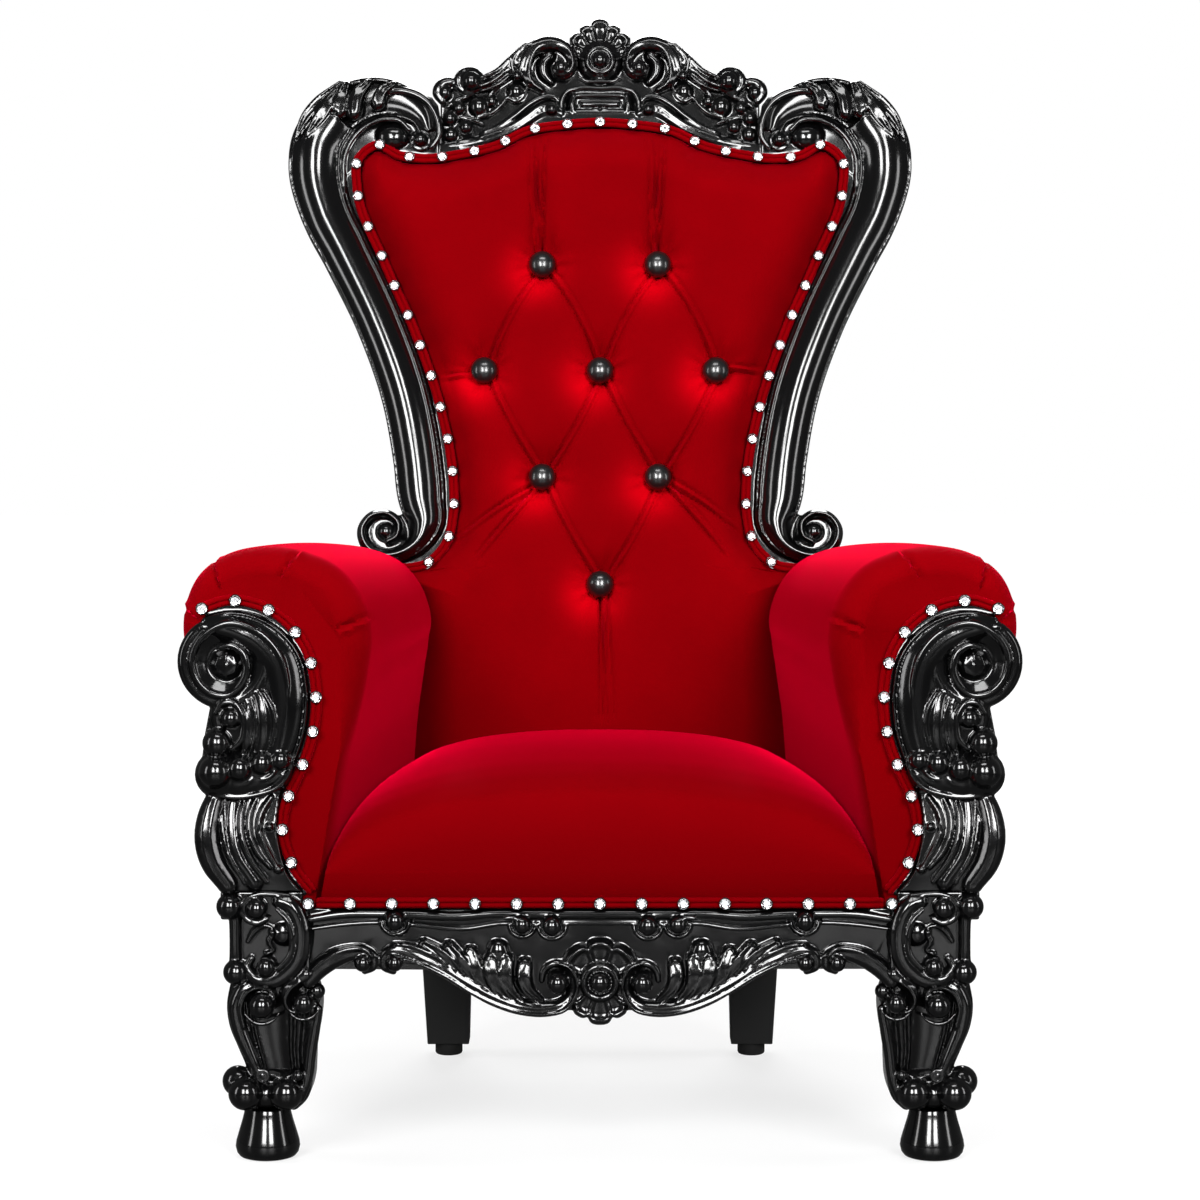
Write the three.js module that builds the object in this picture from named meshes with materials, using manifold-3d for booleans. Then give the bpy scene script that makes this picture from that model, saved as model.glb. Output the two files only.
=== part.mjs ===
// A throne: a high-backed armchair in the baroque revival manner. Its show-wood frame is carved and
// lacquered black, its back is buttoned, its seat domed and its arms rolled, all in velvet, and a
// welt set with cut-glass nailheads runs along every edge where velvet meets wood.
// Millimetres, +Z up, the front faces -Y, the origin is on the floor under the middle of the chair.
// Every carved piece is drawn for the +X side and mirrored to the other. Left and right in the names are
// as seen from the front.
import * as THREE from "three";
import { mergeVertices } from "three/addons/utils/BufferGeometryUtils.js";
import Module from "manifold-3d";

const wasm = await Module();
wasm.setup();

// Driving sizes
const FRONT_Y = -330; // plane of the carved front: apron, knees and arm fronts
const BACK_Y = 190; // where the plane of the leaned back stands over the seat
const BACK_Z = 460;
const LEAN = THREE.MathUtils.degToRad(9);
const GAP = 0.4; // clearance between neighbouring pieces
const RAIL_TOP = 261.7;
const RAIL_BOTTOM = 200;
const SOFT_BOTTOM = 262.3; // underside of seat and arms, on the rails
const SEAT_WELT_Z = 268.5;
const SEAT_WELT_FLOOR = -3; // rear of the seat's welt, in the front frame
const ARM_FRONT_Y = -318; // velvet face behind the carved arm post
const ARM_BACK_Y = 216;
const POST_FLOOR = 280.3; // underside of the arm post, on the knee
const POST_REAR = FRONT_Y - ARM_FRONT_Y + GAP; // rear of the arm post, in the front frame
const FOOT_X = 341;
const FOOT_Y = -290;
const FOOT_TOP = 50.9;
const BACK_LEG_X = 181;
const BACK_LEG_Y = 212;
const POST_BACK = -42; // rear face of the back posts, in the leaned frame
const WELT = 4; // half width of the welt
const NAIL = 6; // radius of a nailhead
const BUTTON = 15.5;
const GLIDE_X = 178; // foot of the back leg, which tapers a little inwards
const GLIDE_TOP = 14;
const MERGE = 1e-4; // points closer than this are one
const FAR = 400; // reach of a cutting box, past everything

// Finishes
const lacquer = new THREE.MeshStandardMaterial({ color: 0x0a0a0b, roughness: 0.12, metalness: 0 });
const satin = new THREE.MeshStandardMaterial({ color: 0x141415, roughness: 0.35, metalness: 0.2 });
const velvet = new THREE.MeshStandardMaterial({ color: 0xb00012, roughness: 0.85, metalness: 0 });
const crystal = new THREE.MeshStandardMaterial({ color: 0xd9dde2, roughness: 0.05, metalness: 0.1 });
const rubber = new THREE.MeshStandardMaterial({ color: 0x0d0d0d, roughness: 0.7, metalness: 0 });

// Frames: u runs right, v up and w out of the carved face, in the upright front and the leaned back.
const chair = new THREE.Group();
const front = new THREE.Group();
front.rotation.x = Math.PI / 2;
front.position.y = FRONT_Y;
const back = new THREE.Group();
back.rotation.x = Math.PI / 2 - LEAN;
back.position.set(0, BACK_Y, BACK_Z);
chair.add(front, back);
chair.updateMatrixWorld(true);

// Sections of carved bands as [across, height], from -1 to 1 across and 0 at the floor to 1 at the rise
const RIDGE = [[-1, 0], [0, 1], [1, 0]];
const ROLL = [[-1, 0], [-0.5, 1], [0.5, 1], [1, 0]];
const POST = [[-1, 0], [-1, 0.82], [-0.8, 0.76], [0.2, 1], [0.8, 0.75], [1, 0.76], [1, 0]];
const FLANGE = [[-1, 0], [-1, 0.8], [-0.45, 0.7], [-0.2, 1], [0.15, 0.6], [1, 0.4], [1, 0]];
const COLUMN = [
  [-1, 0], [-1, 0.45], [-0.75, 0.85], [-0.5, 0.5], [-0.2, 0.95], [0.1, 0.66], [0.42, 0.72], [0.6, 0.5],
  [0.85, 0.95], [1, 0],
];
const LEG = [
  [-0.9, 0], [-1, 0.8], [-0.8, 1], [-0.4, 1], [-0.25, 0.88], [0.25, 0.88], [0.4, 1], [0.8, 1], [1, 0.8],
  [0.9, 0],
];

// A closed geometry as a solid with its faces turned outwards
function solid(geometry) {
  const bare = new THREE.BufferGeometry();
  bare.setAttribute("position", geometry.getAttribute("position"));
  bare.setIndex(geometry.index);
  const merged = mergeVertices(bare, MERGE);
  const index = merged.index.array;
  const faces = [];
  for (let i = 0; i < index.length; i += 3) {
    const corners = [...index.slice(i, i + 3)];
    if (new Set(corners).size === 3) faces.push(...corners);
  }
  const vertProperties = merged.getAttribute("position").array;
  const build = (list) => {
    const triVerts = new Uint32Array(list);
    return new wasm.Manifold(new wasm.Mesh({ numProp: 3, vertProperties, triVerts }));
  };
  const made = build(faces);
  return made.volume() < 0 ? build(faces.reverse()) : made;
}

function join(geometries) {
  return wasm.Manifold.union(geometries.map(solid));
}

function mirrored(geometry) {
  return geometry.clone().scale(-1, 1, 1);
}

function both(geometries) {
  return [...geometries, ...geometries.map(mirrored)];
}

// A box between two corners
function block(low, high) {
  const size = high.map((value, axis) => value - low[axis]);
  const box = new THREE.BoxGeometry(...size);
  return box.translate(...low.map((value, axis) => value + size[axis] / 2));
}

// A closed skin over rings of equal count, capped by the profile that the rings share
function loft(rings, profile) {
  const count = rings[0].length;
  const faces = [];
  for (let ring = 0; ring < rings.length - 1; ring++) {
    for (let point = 0; point < count; point++) {
      const a = ring * count + point;
      const b = ring * count + ((point + 1) % count);
      faces.push(a, b, b + count, a, b + count, a + count);
    }
  }
  const last = (rings.length - 1) * count;
  const clockwise = THREE.ShapeUtils.isClockWise(profile);
  for (const face of THREE.ShapeUtils.triangulateShape(profile, [])) {
    const [a, b, c] = clockwise ? [...face].reverse() : face;
    faces.push(c, b, a, last + a, last + b, last + c);
  }
  return new THREE.BufferGeometry().setFromPoints(rings.flat()).setIndex(faces);
}

// A carved band along stations of [u, v, half width]. It sinks towards its floor where it narrows.
function band(stations, { floor, rise, section = ROLL, steps = 2, fade = 1 }) {
  const curve = new THREE.CatmullRomCurve3(stations.map((station) => new THREE.Vector3(...station)));
  const count = Math.round(steps * (stations.length - 1));
  const widest = Math.max(...stations.map((station) => station[2]));
  const rings = [];
  for (let i = 0; i <= count; i++) {
    const at = curve.getPoint(i / count);
    const along = curve.getTangent(i / count).setZ(0).normalize();
    const lift = THREE.MathUtils.lerp(1, at.z / widest, fade) * (rise - floor);
    const point = ([n, h]) =>
      new THREE.Vector3(at.x - along.y * n * at.z, at.y + along.x * n * at.z, floor + h * lift);
    rings.push(section.map(point));
  }
  return loft(rings, section.map((pair) => new THREE.Vector2(...pair)));
}

// An upright pillar through stations of [v, centre, half width, floor, rise]
function pillar(stations, section) {
  const level = ([v, centre, half, floor, rise]) =>
    section.map(([n, h]) => new THREE.Vector3(centre + n * half, v, floor + h * (rise - floor)));
  return loft(stations.map(level), section.map(([n, h]) => new THREE.Vector2(h, n)));
}

function ball(u, v, w, radius) {
  const small = radius < 14;
  return new THREE.SphereGeometry(radius, small ? 5 : 6, small ? 3 : 4).translate(u, v, w);
}

// A ball in a raised ring, as at the eye of a volute
function rosette(u, v, w, eye, rim) {
  const lip = rim - eye;
  const profile = [
    [0, -10], [rim, -10], [rim, 0], [rim - lip / 2, lip / 2], [eye, 0], [eye * 0.7, eye * 0.7], [0, eye],
  ];
  return turned(profile, 6).translate(u, v, w);
}

// A leaf or lobe that points from one place to another, widest past its middle
function petal(from, to, half, heights) {
  const at = (share, width) => [
    THREE.MathUtils.lerp(from[0], to[0], share),
    THREE.MathUtils.lerp(from[1], to[1], share),
    half * width,
  ];
  const stations = [at(0, 0.5), at(0.65, 1), at(0.92, 0.75), at(1, 0.3)];
  return band(stations, { ...heights, section: RIDGE, steps: 1, fade: 0.5 });
}

// Petals that stand round a centre at the given angles
function fan(centre, inner, lobes, heights) {
  return lobes.map(([degrees, outer, half]) => {
    const turn = THREE.MathUtils.degToRad(degrees);
    const at = (reach) => [centre[0] + reach * Math.cos(turn), centre[1] + reach * Math.sin(turn)];
    return petal(at(inner), at(outer), half, heights);
  });
}

// A plate cut to an outline of [u, v] points, between two depths
function plate(outline, low, high) {
  const shape = new THREE.Shape(outline.map((pair) => new THREE.Vector2(...pair)));
  return new THREE.ExtrudeGeometry(shape, { depth: high - low, bevelEnabled: false }).translate(0, 0, low);
}

// Points of a smooth line through a few set points
function smooth(points, count) {
  const line = new THREE.SplineCurve(points.map((pair) => new THREE.Vector2(...pair)));
  return line.getPoints(count).map((point) => [point.x, point.y]);
}

// A line drawn for one side, carried across the middle to the other
function across(points) {
  const other = points.filter(([u]) => u > 0).map(([u, v]) => [-u, v]);
  return [...points, ...other.reverse()];
}

function turned(profile, segments) {
  const lathe = new THREE.LatheGeometry(profile.map((pair) => new THREE.Vector2(...pair)), segments);
  return lathe.rotateX(Math.PI / 2);
}

// A welt along a line, which swells at each nailhead
function welt(line, floor, nails) {
  const course = new THREE.SplineCurve(line.map((pair) => new THREE.Vector2(...pair)));
  const spaces = 2 * (nails - 1);
  const rings = [];
  const swell = (share, half) => {
    const at = course.getPointAt(share);
    const along = course.getTangentAt(share);
    const place = ([n, h]) =>
      new THREE.Vector3(at.x - along.y * n * half, at.y + along.x * n * half, floor + h * half * 2);
    rings.push(RIDGE.map(place));
  };
  for (let step = 0; step <= spaces; step++) swell(step / spaces, step % 2 ? WELT : NAIL);
  return solid(loft(rings, RIDGE.map((place) => new THREE.Vector2(...place))));
}

function inWorld(geometry, frame) {
  return solid(geometry.clone().applyMatrix4(frame.matrixWorld));
}

// A named piece in a frame, mirrored to the other side where asked
function piece(name, shape, finish, frame, side = 1) {
  const made = shape.getMesh();
  const geometry = new THREE.BufferGeometry();
  geometry.setAttribute("position", new THREE.BufferAttribute(made.vertProperties, 3));
  geometry.setIndex(new THREE.BufferAttribute(made.triVerts, 1));
  const faceted = geometry.toNonIndexed();
  faceted.computeVertexNormals();
  const mesh = new THREE.Mesh(faceted, finish);
  mesh.name = name;
  mesh.scale.x = side;
  frame.add(mesh);
}

function pair(name, shape, finish, frame) {
  piece(`${name}_left`, shape, finish, frame, -1);
  piece(`${name}_right`, shape, finish, frame, 1);
}

// Arm post: a scroll with a dished face, a paw of balls under it and a fluted column down to the knee
function armPost() {
  const face = [
    [0, POST_REAR], [46, POST_REAR], [46, 0], [40, 9], [31, 1], [25, 9], [19, 1], [0, 8],
  ];
  const scroll = turned(face, 12).translate(378, 512, 0);
  const carved = { floor: POST_REAR, rise: 7 };
  const rim = band(
    [[396, 549, 9], [366, 548, 16], [341, 535, 20], [323, 513, 22], [316, 485, 21.5], [316, 457, 20.5],
      [321, 430, 18], [330, 405, 15]],
    { ...carved, section: FLANGE, fade: 0, steps: 1 },
  );
  const finger = band([[362, 468, 5], [350, 448, 11], [349, 412, 13]], { ...carved, rise: 11, steps: 1 });
  const paw = [
    [368, 454, 10], [383, 430, 13.5], [385, 403, 15], [362, 405, 13], [340, 408, 11.5], [320, 411, 10],
  ].map(([u, v, radius]) => ball(u, v, POST_REAR + radius, radius));
  const column = pillar(
    [
      [POST_FLOOR, 343, 40], [296, 355, 38.5], [318, 364, 40], [342, 368.5, 39], [375, 360, 36.5],
      [404, 352, 34],
    ].map((level) => [...level, POST_REAR, 6]),
    COLUMN,
  );
  return join([scroll, rim, finger, ...paw, column]);
}

// Front leg: a square knee with a C-scroll between balls, then a leg that tapers to a pair of balls
function frontLeg() {
  const knee = block([296, 170, -70], [384, RAIL_TOP, 0]);
  const carved = { floor: 0, rise: 10 };
  const scroll = band(
    [[346, 275, 3], [328, 271, 7], [311, 257, 10], [304, 233, 10.5], [310, 207, 10], [327, 194, 9],
      [345, 184, 7], [358, 194, 5], [353, 208, 4], [342, 208, 3]],
    { ...carved, steps: 1 },
  );
  const ornaments = [
    ball(376, 263, 2, 13.5), rosette(346, 262, 2, 11, 16), ball(371, 194, 2, 13), ball(342, 199, 4, 8),
  ];
  const rod = band([[369, 252, 7], [369, 206, 7]], { ...carved, rise: 5, fade: 0, steps: 1 });
  const shaft = pillar(
    [[FOOT_TOP + GAP, 330, 22, -63, -17], [63, 328, 29, -66, -14], [95, 325, 32, -70, -9],
      [115, 328, 37, -70, -6], [140, 331, 45.5, -70, -3], [162, 331.5, 47.5, -70, -2],
      [177, 331, 44, -70, -3]],
    LEG,
  );
  const volutes = [rosette(343.5, 160, 2, 10, 17), rosette(302, 164, 2, 9, 17)];
  const lower = [ball(365, 67, -14, 16), ball(322, 68, -14, 16), ball(287, 175, -14, 9)];
  const tail = band([[291, 196, 8], [303, 188, 7], [314, 177, 5]], { floor: -10, rise: 7, steps: 1 });
  const beside = solid(block([200, 186, -120], [295.8, 300, 80]));
  return join([knee, scroll, rod, ...ornaments, shaft, tail, ...volutes, ...lower]).subtract(beside);
}

function frontFoot() {
  const profile = [
    [0, 0], [26, 0], [31, 4], [33, 12], [31, 20], [27, 32], [24, 44], [23.5, FOOT_TOP], [0, FOOT_TOP],
  ];
  return solid(turned(profile, 12).translate(FOOT_X, FOOT_Y, 0));
}

// Apron: a plate with a waved lower edge, a boss between shells and volutes, and leaves to each side
function frontRail() {
  const lower = smooth(
    [[295.2, 190], [272, 200], [250, 207], [226, 207], [193, 204], [160, 197], [120, 176], [77, 158],
      [50, 156], [26, 158], [0, 154]],
    11,
  );
  const outline = across([[295.2, RAIL_TOP], ...lower]);
  const base = plate(outline, -28, 0);
  const carved = { floor: 0, rise: 9 };
  const low = { floor: 0, rise: 5 };
  const moulding = band([[290, 254, 6], [0, 254, 6], [-290, 254, 6]], { ...low, fade: 0, steps: 1 });
  const blade = { ...carved, section: RIDGE, steps: 1 };
  const strap = band([[289, 198, 7], [280, 205, 8], [266, 212, 9], [250, 213, 8], [240, 215, 6]], blade);
  const spine = band(
    [[212, 215, 6], [198, 214, 8], [180, 211, 9], [160, 203, 9], [130, 185, 9], [100, 170, 9], [74, 164, 8],
      [56, 169, 6]],
    blade,
  );
  const leaves = [
    [[164, 201], [178, 230]], [[138, 190], [148, 223]], [[110, 175], [106, 229]], [[80, 168], [73, 209]],
  ].map(([from, to]) => petal(from, to, 11, carved));
  const curls = [239, 212].map((u) => ball(u, 205, 1, 12.5));
  const drops = [198, 76, 48].map((u) => ball(u, 246, 2, 12));
  const volute = rosette(43, 188, 4, 10, 19);
  const hang = { floor: -20, rise: 10 };
  const shell = fan([0, 188], 16, [[62, 43, 8], [36, 41, 8]], carved);
  const pendant = fan([0, 188], 16, [[-66, 43, 7], [-45, 41, 6]], hang);
  const middle = [...fan([0, 188], 16, [[90, 44, 8]], carved), ...fan([0, 188], 16, [[-90, 45, 7]], hang)];
  const boss = rosette(0, 188, 6, 11, 20);
  const sides = both([strap, spine, ...leaves, ...curls, ...drops, volute, ...shell, ...pendant]);
  return join([base, moulding, boss, ...middle, ...sides]);
}

// Back post: it springs from a small scroll on the arm, swells upward and rolls over in a large one
function postBody(extra) {
  const course = [
    [248, 143, 4], [236, 150, 4.5], [234, 166, 5], [247, 177, 5], [265, 175, 5.5], [277, 158, 6],
    [272, 140, 6.5], [252, 128, 7], [230, 131, 9], [212, 143, 13], [203, 165, 21], [208, 195, 27],
    [213, 240, 28], [227, 314, 28], [258, 402, 28], [300, 490, 29], [322, 535, 30.5], [333, 590, 33],
    [330, 615, 33], [312, 645, 31], [286, 663, 28], [260, 669, 25], [232, 664, 20], [209, 647, 14],
    [203, 630, 10],
  ];
  const shape = course.map(([u, v, half]) => [u, v, half + extra]);
  const heights = { floor: POST_BACK - extra, rise: 24 + extra };
  return band(shape, { ...heights, section: POST, fade: 0, steps: 1 });
}

function backPost() {
  const web = turned([[0, POST_BACK], [26, POST_BACK], [26, 8], [0, 8]], 10).translate(252, 152, 0);
  const eyes = [ball(249, 155, 8, 12), ball(210, 623, 14, 10)];
  const leaves = [
    [[346, 594], [306, 606]], [[332, 632], [296, 628]], [[304, 660], [274, 646]],
  ].map(([from, to]) => petal(from, to, 15, { floor: -10, rise: 30 }));
  return join([postBody(0), web, ...eyes, ...leaves]);
}

// Crest rail: a plate under a shell, with a boss, a volute to each side and a small tablet below
function crestRail() {
  const upper = smooth(
    [[0, 750], [26, 742], [40, 738], [56, 744], [74, 742], [92, 733], [112, 717], [134, 700], [158, 692],
      [176, 676]],
    10,
  );
  const lower = smooth([[187, 640], [187, 610], [163, 612], [118, 624], [83, 642], [44, 648], [0, 651]], 8);
  const outline = across([...upper, ...lower]);
  const base = plate(outline, -40, 0);
  const carved = { floor: 0, rise: 14 };
  const low = { floor: 0, rise: 8 };
  const volute = band(
    [[92, 682, 3], [98, 704, 7], [91, 726, 9], [71, 737, 9], [49, 734, 8], [34, 719, 7], [36, 701, 6],
      [49, 694, 5], [60, 703, 4]],
    { ...carved, steps: 1 },
  );
  const sweep = band([[96, 727, 6], [114, 712, 9], [134, 699, 9], [156, 690, 8]], { ...carved, steps: 1 });
  const bead = { ...low, section: RIDGE, steps: 1 };
  const upperBead = band(
    [[44, 673, 5], [62, 674, 6], [84, 667, 6], [116, 647, 6], [150, 630, 5], [176, 622, 3]],
    bead,
  );
  const lowerBead = band([[40, 654, 4], [83, 648, 4.5], [118, 630, 4.5], [163, 617, 4], [182, 614, 3]], bead);
  const balls = [
    [49, 706, 9.5], [157, 692, 12], [176, 674, 9.5], [158, 657, 9.5], [103, 682, 8],
  ].map(([u, v, radius]) => ball(u, v, 3, radius));
  const shell = fan([0, 717], 14, [[62, 44, 9], [32, 42, 9]], { floor: -20, rise: 14 });
  const crown = petal([0, 730], [0, 768], 11, { floor: -20, rise: 16 });
  const boss = rosette(0, 717, 8, 10, 20);
  const tablet = [
    band([[-39, 667, 11], [39, 667, 11]], { ...low, fade: 0, steps: 1 }),
    band([[-26, 667, 5], [26, 667, 5]], { ...carved, fade: 0, steps: 1 }),
  ];
  const sides = both([volute, sweep, upperBead, lowerBead, ...balls, ...shell]);
  const whole = join([base, crown, boss, ...tablet, ...sides]);
  return whole.subtract(join(both([postBody(GAP)])));
}

// Line of the welt round the back, from over the arm up to the middle of the crest
const BACK_WELT = [
  [236, 113], [203, 119], [181, 140], [171, 177], [171, 217], [186, 301], [217, 393], [254, 477], [285, 561],
  [283, 599], [262, 614], [237, 602], [203, 598], [165, 603], [123, 613], [85, 631], [43, 638], [0, 641],
];
const BUTTON_ROWS = [[94, [0]], [219, [-67.5, 67.5]], [344, [-135, 0, 135]], [469, [-67.5, 67.5]]];
const BUTTONS = BUTTON_ROWS.flatMap(([v, places]) => places.map((u) => [u, v]));
const CUSHION = {
  half: 188, // half width over the arms, and lower down at the seat
  foot: 199,
  bottom: -190,
  shoulder: 106, // where it widens out over the arms
  inset: 8.5, // from the line of the welt
  back: -28, // depths in the leaned frame
  edge: 5,
  crown: 38,
  dimple: 24,
  reach: 26.5, // how far a dimple spreads
  roll: 45, // how far the edge rolls over
};
const CELL_U = 67.5; // half the spacing of the buttons
const CELL_V = 62.5;
const CELL_COLUMNS = 10;
const CELL_ROWS = 14;
const ROWS_BELOW_BUTTONS = 5;

// Outline of the back cushion: inside the welt above the arms, straight down between them below
function cushionOutline(inset, count) {
  const line = new THREE.SplineCurve(BACK_WELT.map((place) => new THREE.Vector2(...place)));
  const inside = [];
  for (let i = 1; i <= count; i++) {
    const at = line.getPoint(i / count);
    const along = line.getTangent(i / count);
    inside.push([Math.max(at.x - along.y * inset, 0), at.y + along.x * inset]);
  }
  const { half, foot, bottom, shoulder } = CUSHION;
  const above = inside.filter(([u, v], i) => i === count - 1 || (u > 0 && (v > 150 || u < half)));
  const shape = [[foot, bottom], [half, shoulder - 40], [half, shoulder], ...above];
  return across(shape);
}

// Distance from a place to the nearest side of an outline
function toEdge(place, outline) {
  const near = new THREE.Vector3();
  const reach = outline.map(([u, v], i) => {
    const [nextU, nextV] = outline[(i + 1) % outline.length];
    const side = new THREE.Line3(new THREE.Vector3(u, v, 0), new THREE.Vector3(nextU, nextV, 0));
    return side.closestPointToPoint(place, true, near).distanceTo(place);
  });
  return Math.min(...reach);
}

// Back cushion: a crowned field, drawn in at the buttons and rolled down to its edge
function backCushion() {
  const outline = cushionOutline(CUSHION.inset, 26);
  const shape = new THREE.Shape(outline.map((place) => new THREE.Vector2(...place)));
  const { edge, crown, dimple, reach, bottom } = CUSHION;
  const contour = shape.getPoints();
  const height = (place) => {
    const within = pointInside(place, contour);
    const roll = within ? Math.min(toEdge(place, outline) / CUSHION.roll, 1) : 0;
    const far = BUTTONS.map(([u, v]) => Math.hypot(place.x - u, place.y - v));
    const pull = Math.exp(-((Math.min(...far) / reach) ** 2));
    return edge + (crown - edge) * Math.sin((roll * Math.PI) / 2) - dimple * pull;
  };
  const tall = CELL_ROWS * CELL_V;
  const lowest = BUTTON_ROWS[0][0] - ROWS_BELOW_BUTTONS * CELL_V;
  const field = new THREE.PlaneGeometry(CELL_COLUMNS * CELL_U, tall, CELL_COLUMNS, CELL_ROWS);
  const spots = field.translate(0, lowest + tall / 2, 0).getAttribute("position");
  const top = [];
  for (let i = 0; i < spots.count; i++) {
    const place = new THREE.Vector3().fromBufferAttribute(spots, i);
    top.push(place.clone().setZ(height(place)));
  }
  const body = heightField(top, CELL_COLUMNS + 1, CELL_ROWS + 1, CUSHION.back);
  const room = solid(plate(outline, CUSHION.back, FAR));
  return solid(body).intersect(room).subtract(solid(block([-FAR, -FAR, -FAR], [FAR, bottom, FAR])));
}

function pointInside(place, contour) {
  let inside = false;
  contour.forEach((a, i) => {
    const b = contour[(i + 1) % contour.length];
    const spans = a.y > place.y !== b.y > place.y;
    if (spans && place.x < ((b.x - a.x) * (place.y - a.y)) / (b.y - a.y) + a.x) inside = !inside;
  });
  return inside;
}

// A field of points over a flat base, closed all round
function heightField(top, columns, rows, base) {
  const floor = top.map((point) => new THREE.Vector3(point.x, point.y, base - 1));
  const faces = [];
  const under = top.length;
  const quad = (a, b, c, d) => faces.push(a, b, c, a, c, d);
  for (let row = 0; row < rows - 1; row++) {
    for (let column = 0; column < columns - 1; column++) {
      const a = row * columns + column;
      const b = a + columns;
      quad(a, b, b + 1, a + 1);
      quad(under + a, under + a + 1, under + b + 1, under + b);
    }
  }
  const rim = [];
  for (let column = 0; column < columns - 1; column++) rim.push(column);
  for (let row = 0; row < rows - 1; row++) rim.push(row * columns + columns - 1);
  for (let column = columns - 1; column > 0; column--) rim.push((rows - 1) * columns + column);
  for (let row = rows - 1; row > 0; row--) rim.push(row * columns);
  rim.forEach((a, i) => {
    const b = rim[(i + 1) % rim.length];
    quad(a, b, under + b, under + a);
  });
  return new THREE.BufferGeometry().setFromPoints([...top, ...floor]).setIndex(faces);
}

function backButton(u, v) {
  const flat = 0.75;
  const seat = CUSHION.crown - CUSHION.dimple + BUTTON * flat + 4;
  return solid(new THREE.SphereGeometry(BUTTON, 7, 4).scale(1, 1, flat).translate(u, v, seat));
}

// Arm: a leaned panel under a roll. It narrows in plan towards the back.
const ARM = [
  [285, SOFT_BOTTOM], [262, 400], [240, 500], [236, 530], [246, 573], [274, 603], [310, 614], [350, 609],
  [390, 589], [415, 562], [424, 530], [414, 500], [395, 481], [362, 470], [340, 455], [332, 420], [330, 350],
  [325, SOFT_BOTTOM],
];
const ARM_SHIFT_LOW = 82;
const ARM_SHIFT_HIGH = 46;
const ARM_BEND_Z = 500;
const ARM_ROLL_Z = 420; // above this the ends of the arm are drawn in
const ARM_CENTRE = [330, 480];

function armShift(y, z) {
  const share = (y - ARM_FRONT_Y) / (ARM_BACK_Y - ARM_FRONT_Y);
  const up = THREE.MathUtils.clamp((z - SOFT_BOTTOM) / (ARM_BEND_Z - SOFT_BOTTOM), 0, 1);
  return share * THREE.MathUtils.lerp(ARM_SHIFT_LOW, ARM_SHIFT_HIGH, up);
}

function arm() {
  const stations = [
    [ARM_FRONT_Y, 0.94], [ARM_FRONT_Y + 12, 1], [-60, 1], [ARM_BACK_Y - 14, 1], [ARM_BACK_Y, 0.95],
  ];
  const [centreX, centreZ] = ARM_CENTRE;
  const rings = stations.map(([y, draw]) =>
    ARM.map(([x, z]) => {
      const size = z > ARM_ROLL_Z ? draw : 1;
      const roundX = centreX + (x - centreX) * size;
      return new THREE.Vector3(roundX - armShift(y, z), y, centreZ + (z - centreZ) * size);
    }));
  const body = solid(loft(rings, ARM.map(([x, z]) => new THREE.Vector2(z, x))));
  const besideBack = inWorld(block([100, 104, -140], [292, FAR, 42]), back);
  return body.subtract(besideBack);
}

// Seat: a dome between the arms, with a full nose over the front rail
function seat() {
  const profile = [
    [-334, 290, 322], [-331, 275, 345], [-327, 264, 360], [-314, SOFT_BOTTOM, 378], [-280, SOFT_BOTTOM, 392],
    [-200, SOFT_BOTTOM, 404], [-60, SOFT_BOTTOM, 408], [180, SOFT_BOTTOM, 392],
  ];
  const spread = [-1, -0.9, -0.7, -0.4, 0, 0.4, 0.7, 0.9, 1];
  const domed = 0.3; // share of the height that is dome
  const besideArm = 1.2;
  const side = (y, z) => {
    const share = (z - SOFT_BOTTOM) / (ARM_BEND_Z - SOFT_BOTTOM);
    const inner = THREE.MathUtils.lerp(ARM[0][0], ARM[2][0], share);
    return inner - armShift(Math.max(y, ARM_FRONT_Y), z) - besideArm;
  };
  const rings = profile.map(([y, low, high]) => {
    const shoulder = high - domed * (high - low);
    const over = spread.map((s) => {
      const z = shoulder + (high - shoulder) * Math.sqrt(1 - Math.abs(s) ** 2.5);
      return new THREE.Vector3(s * side(y, shoulder), y, z);
    });
    return [new THREE.Vector3(-side(y, low), y, low), ...over, new THREE.Vector3(side(y, low), y, low)];
  });
  const outline = rings[rings.length - 1].map((point) => new THREE.Vector2(point.z, point.x));
  const behind = inWorld(block([-FAR, -FAR, -FAR], [FAR, FAR, CUSHION.crown + GAP]), back);
  const weltTop = SEAT_WELT_Z + NAIL + GAP;
  const underWelt = solid(block([-FAR, -FAR, 0], [FAR, FRONT_Y - SEAT_WELT_FLOOR + GAP, weltTop]));
  return solid(loft(rings, outline)).subtract(behind).subtract(underWelt);
}

// Plain rails that carry the seat, behind the carved ones
function sideRail() {
  const ends = [[-259.6, 313], [199.6, 236]];
  const section = [[-13, RAIL_BOTTOM], [-13, RAIL_TOP], [13, RAIL_TOP], [13, RAIL_BOTTOM]];
  const rings = ends.map(([y, x]) => section.map(([dx, z]) => new THREE.Vector3(x + dx, y, z)));
  return solid(loft(rings, section.map(([dx, z]) => new THREE.Vector2(z, dx))));
}

// Back leg: square and chamfered, with a slight taper to a round glide
function backLeg() {
  const corner = 0.62;
  const section = [
    [1, corner], [corner, 1], [-corner, 1], [-1, corner], [-1, -corner], [-corner, -1], [corner, -1],
    [1, -corner],
  ];
  const levels = [
    [GLIDE_TOP + GAP, GLIDE_X, 23], [20, GLIDE_X, 25], [95, BACK_LEG_X, 31],
    [RAIL_BOTTOM - GAP, BACK_LEG_X, 32],
  ];
  const deep = 0.8;
  const rings = levels.map(([z, x, half]) =>
    section.map(([a, b]) => new THREE.Vector3(x + a * half, BACK_LEG_Y + b * half * deep, z)));
  return solid(loft(rings, section.map((place) => new THREE.Vector2(...place))));
}

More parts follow.
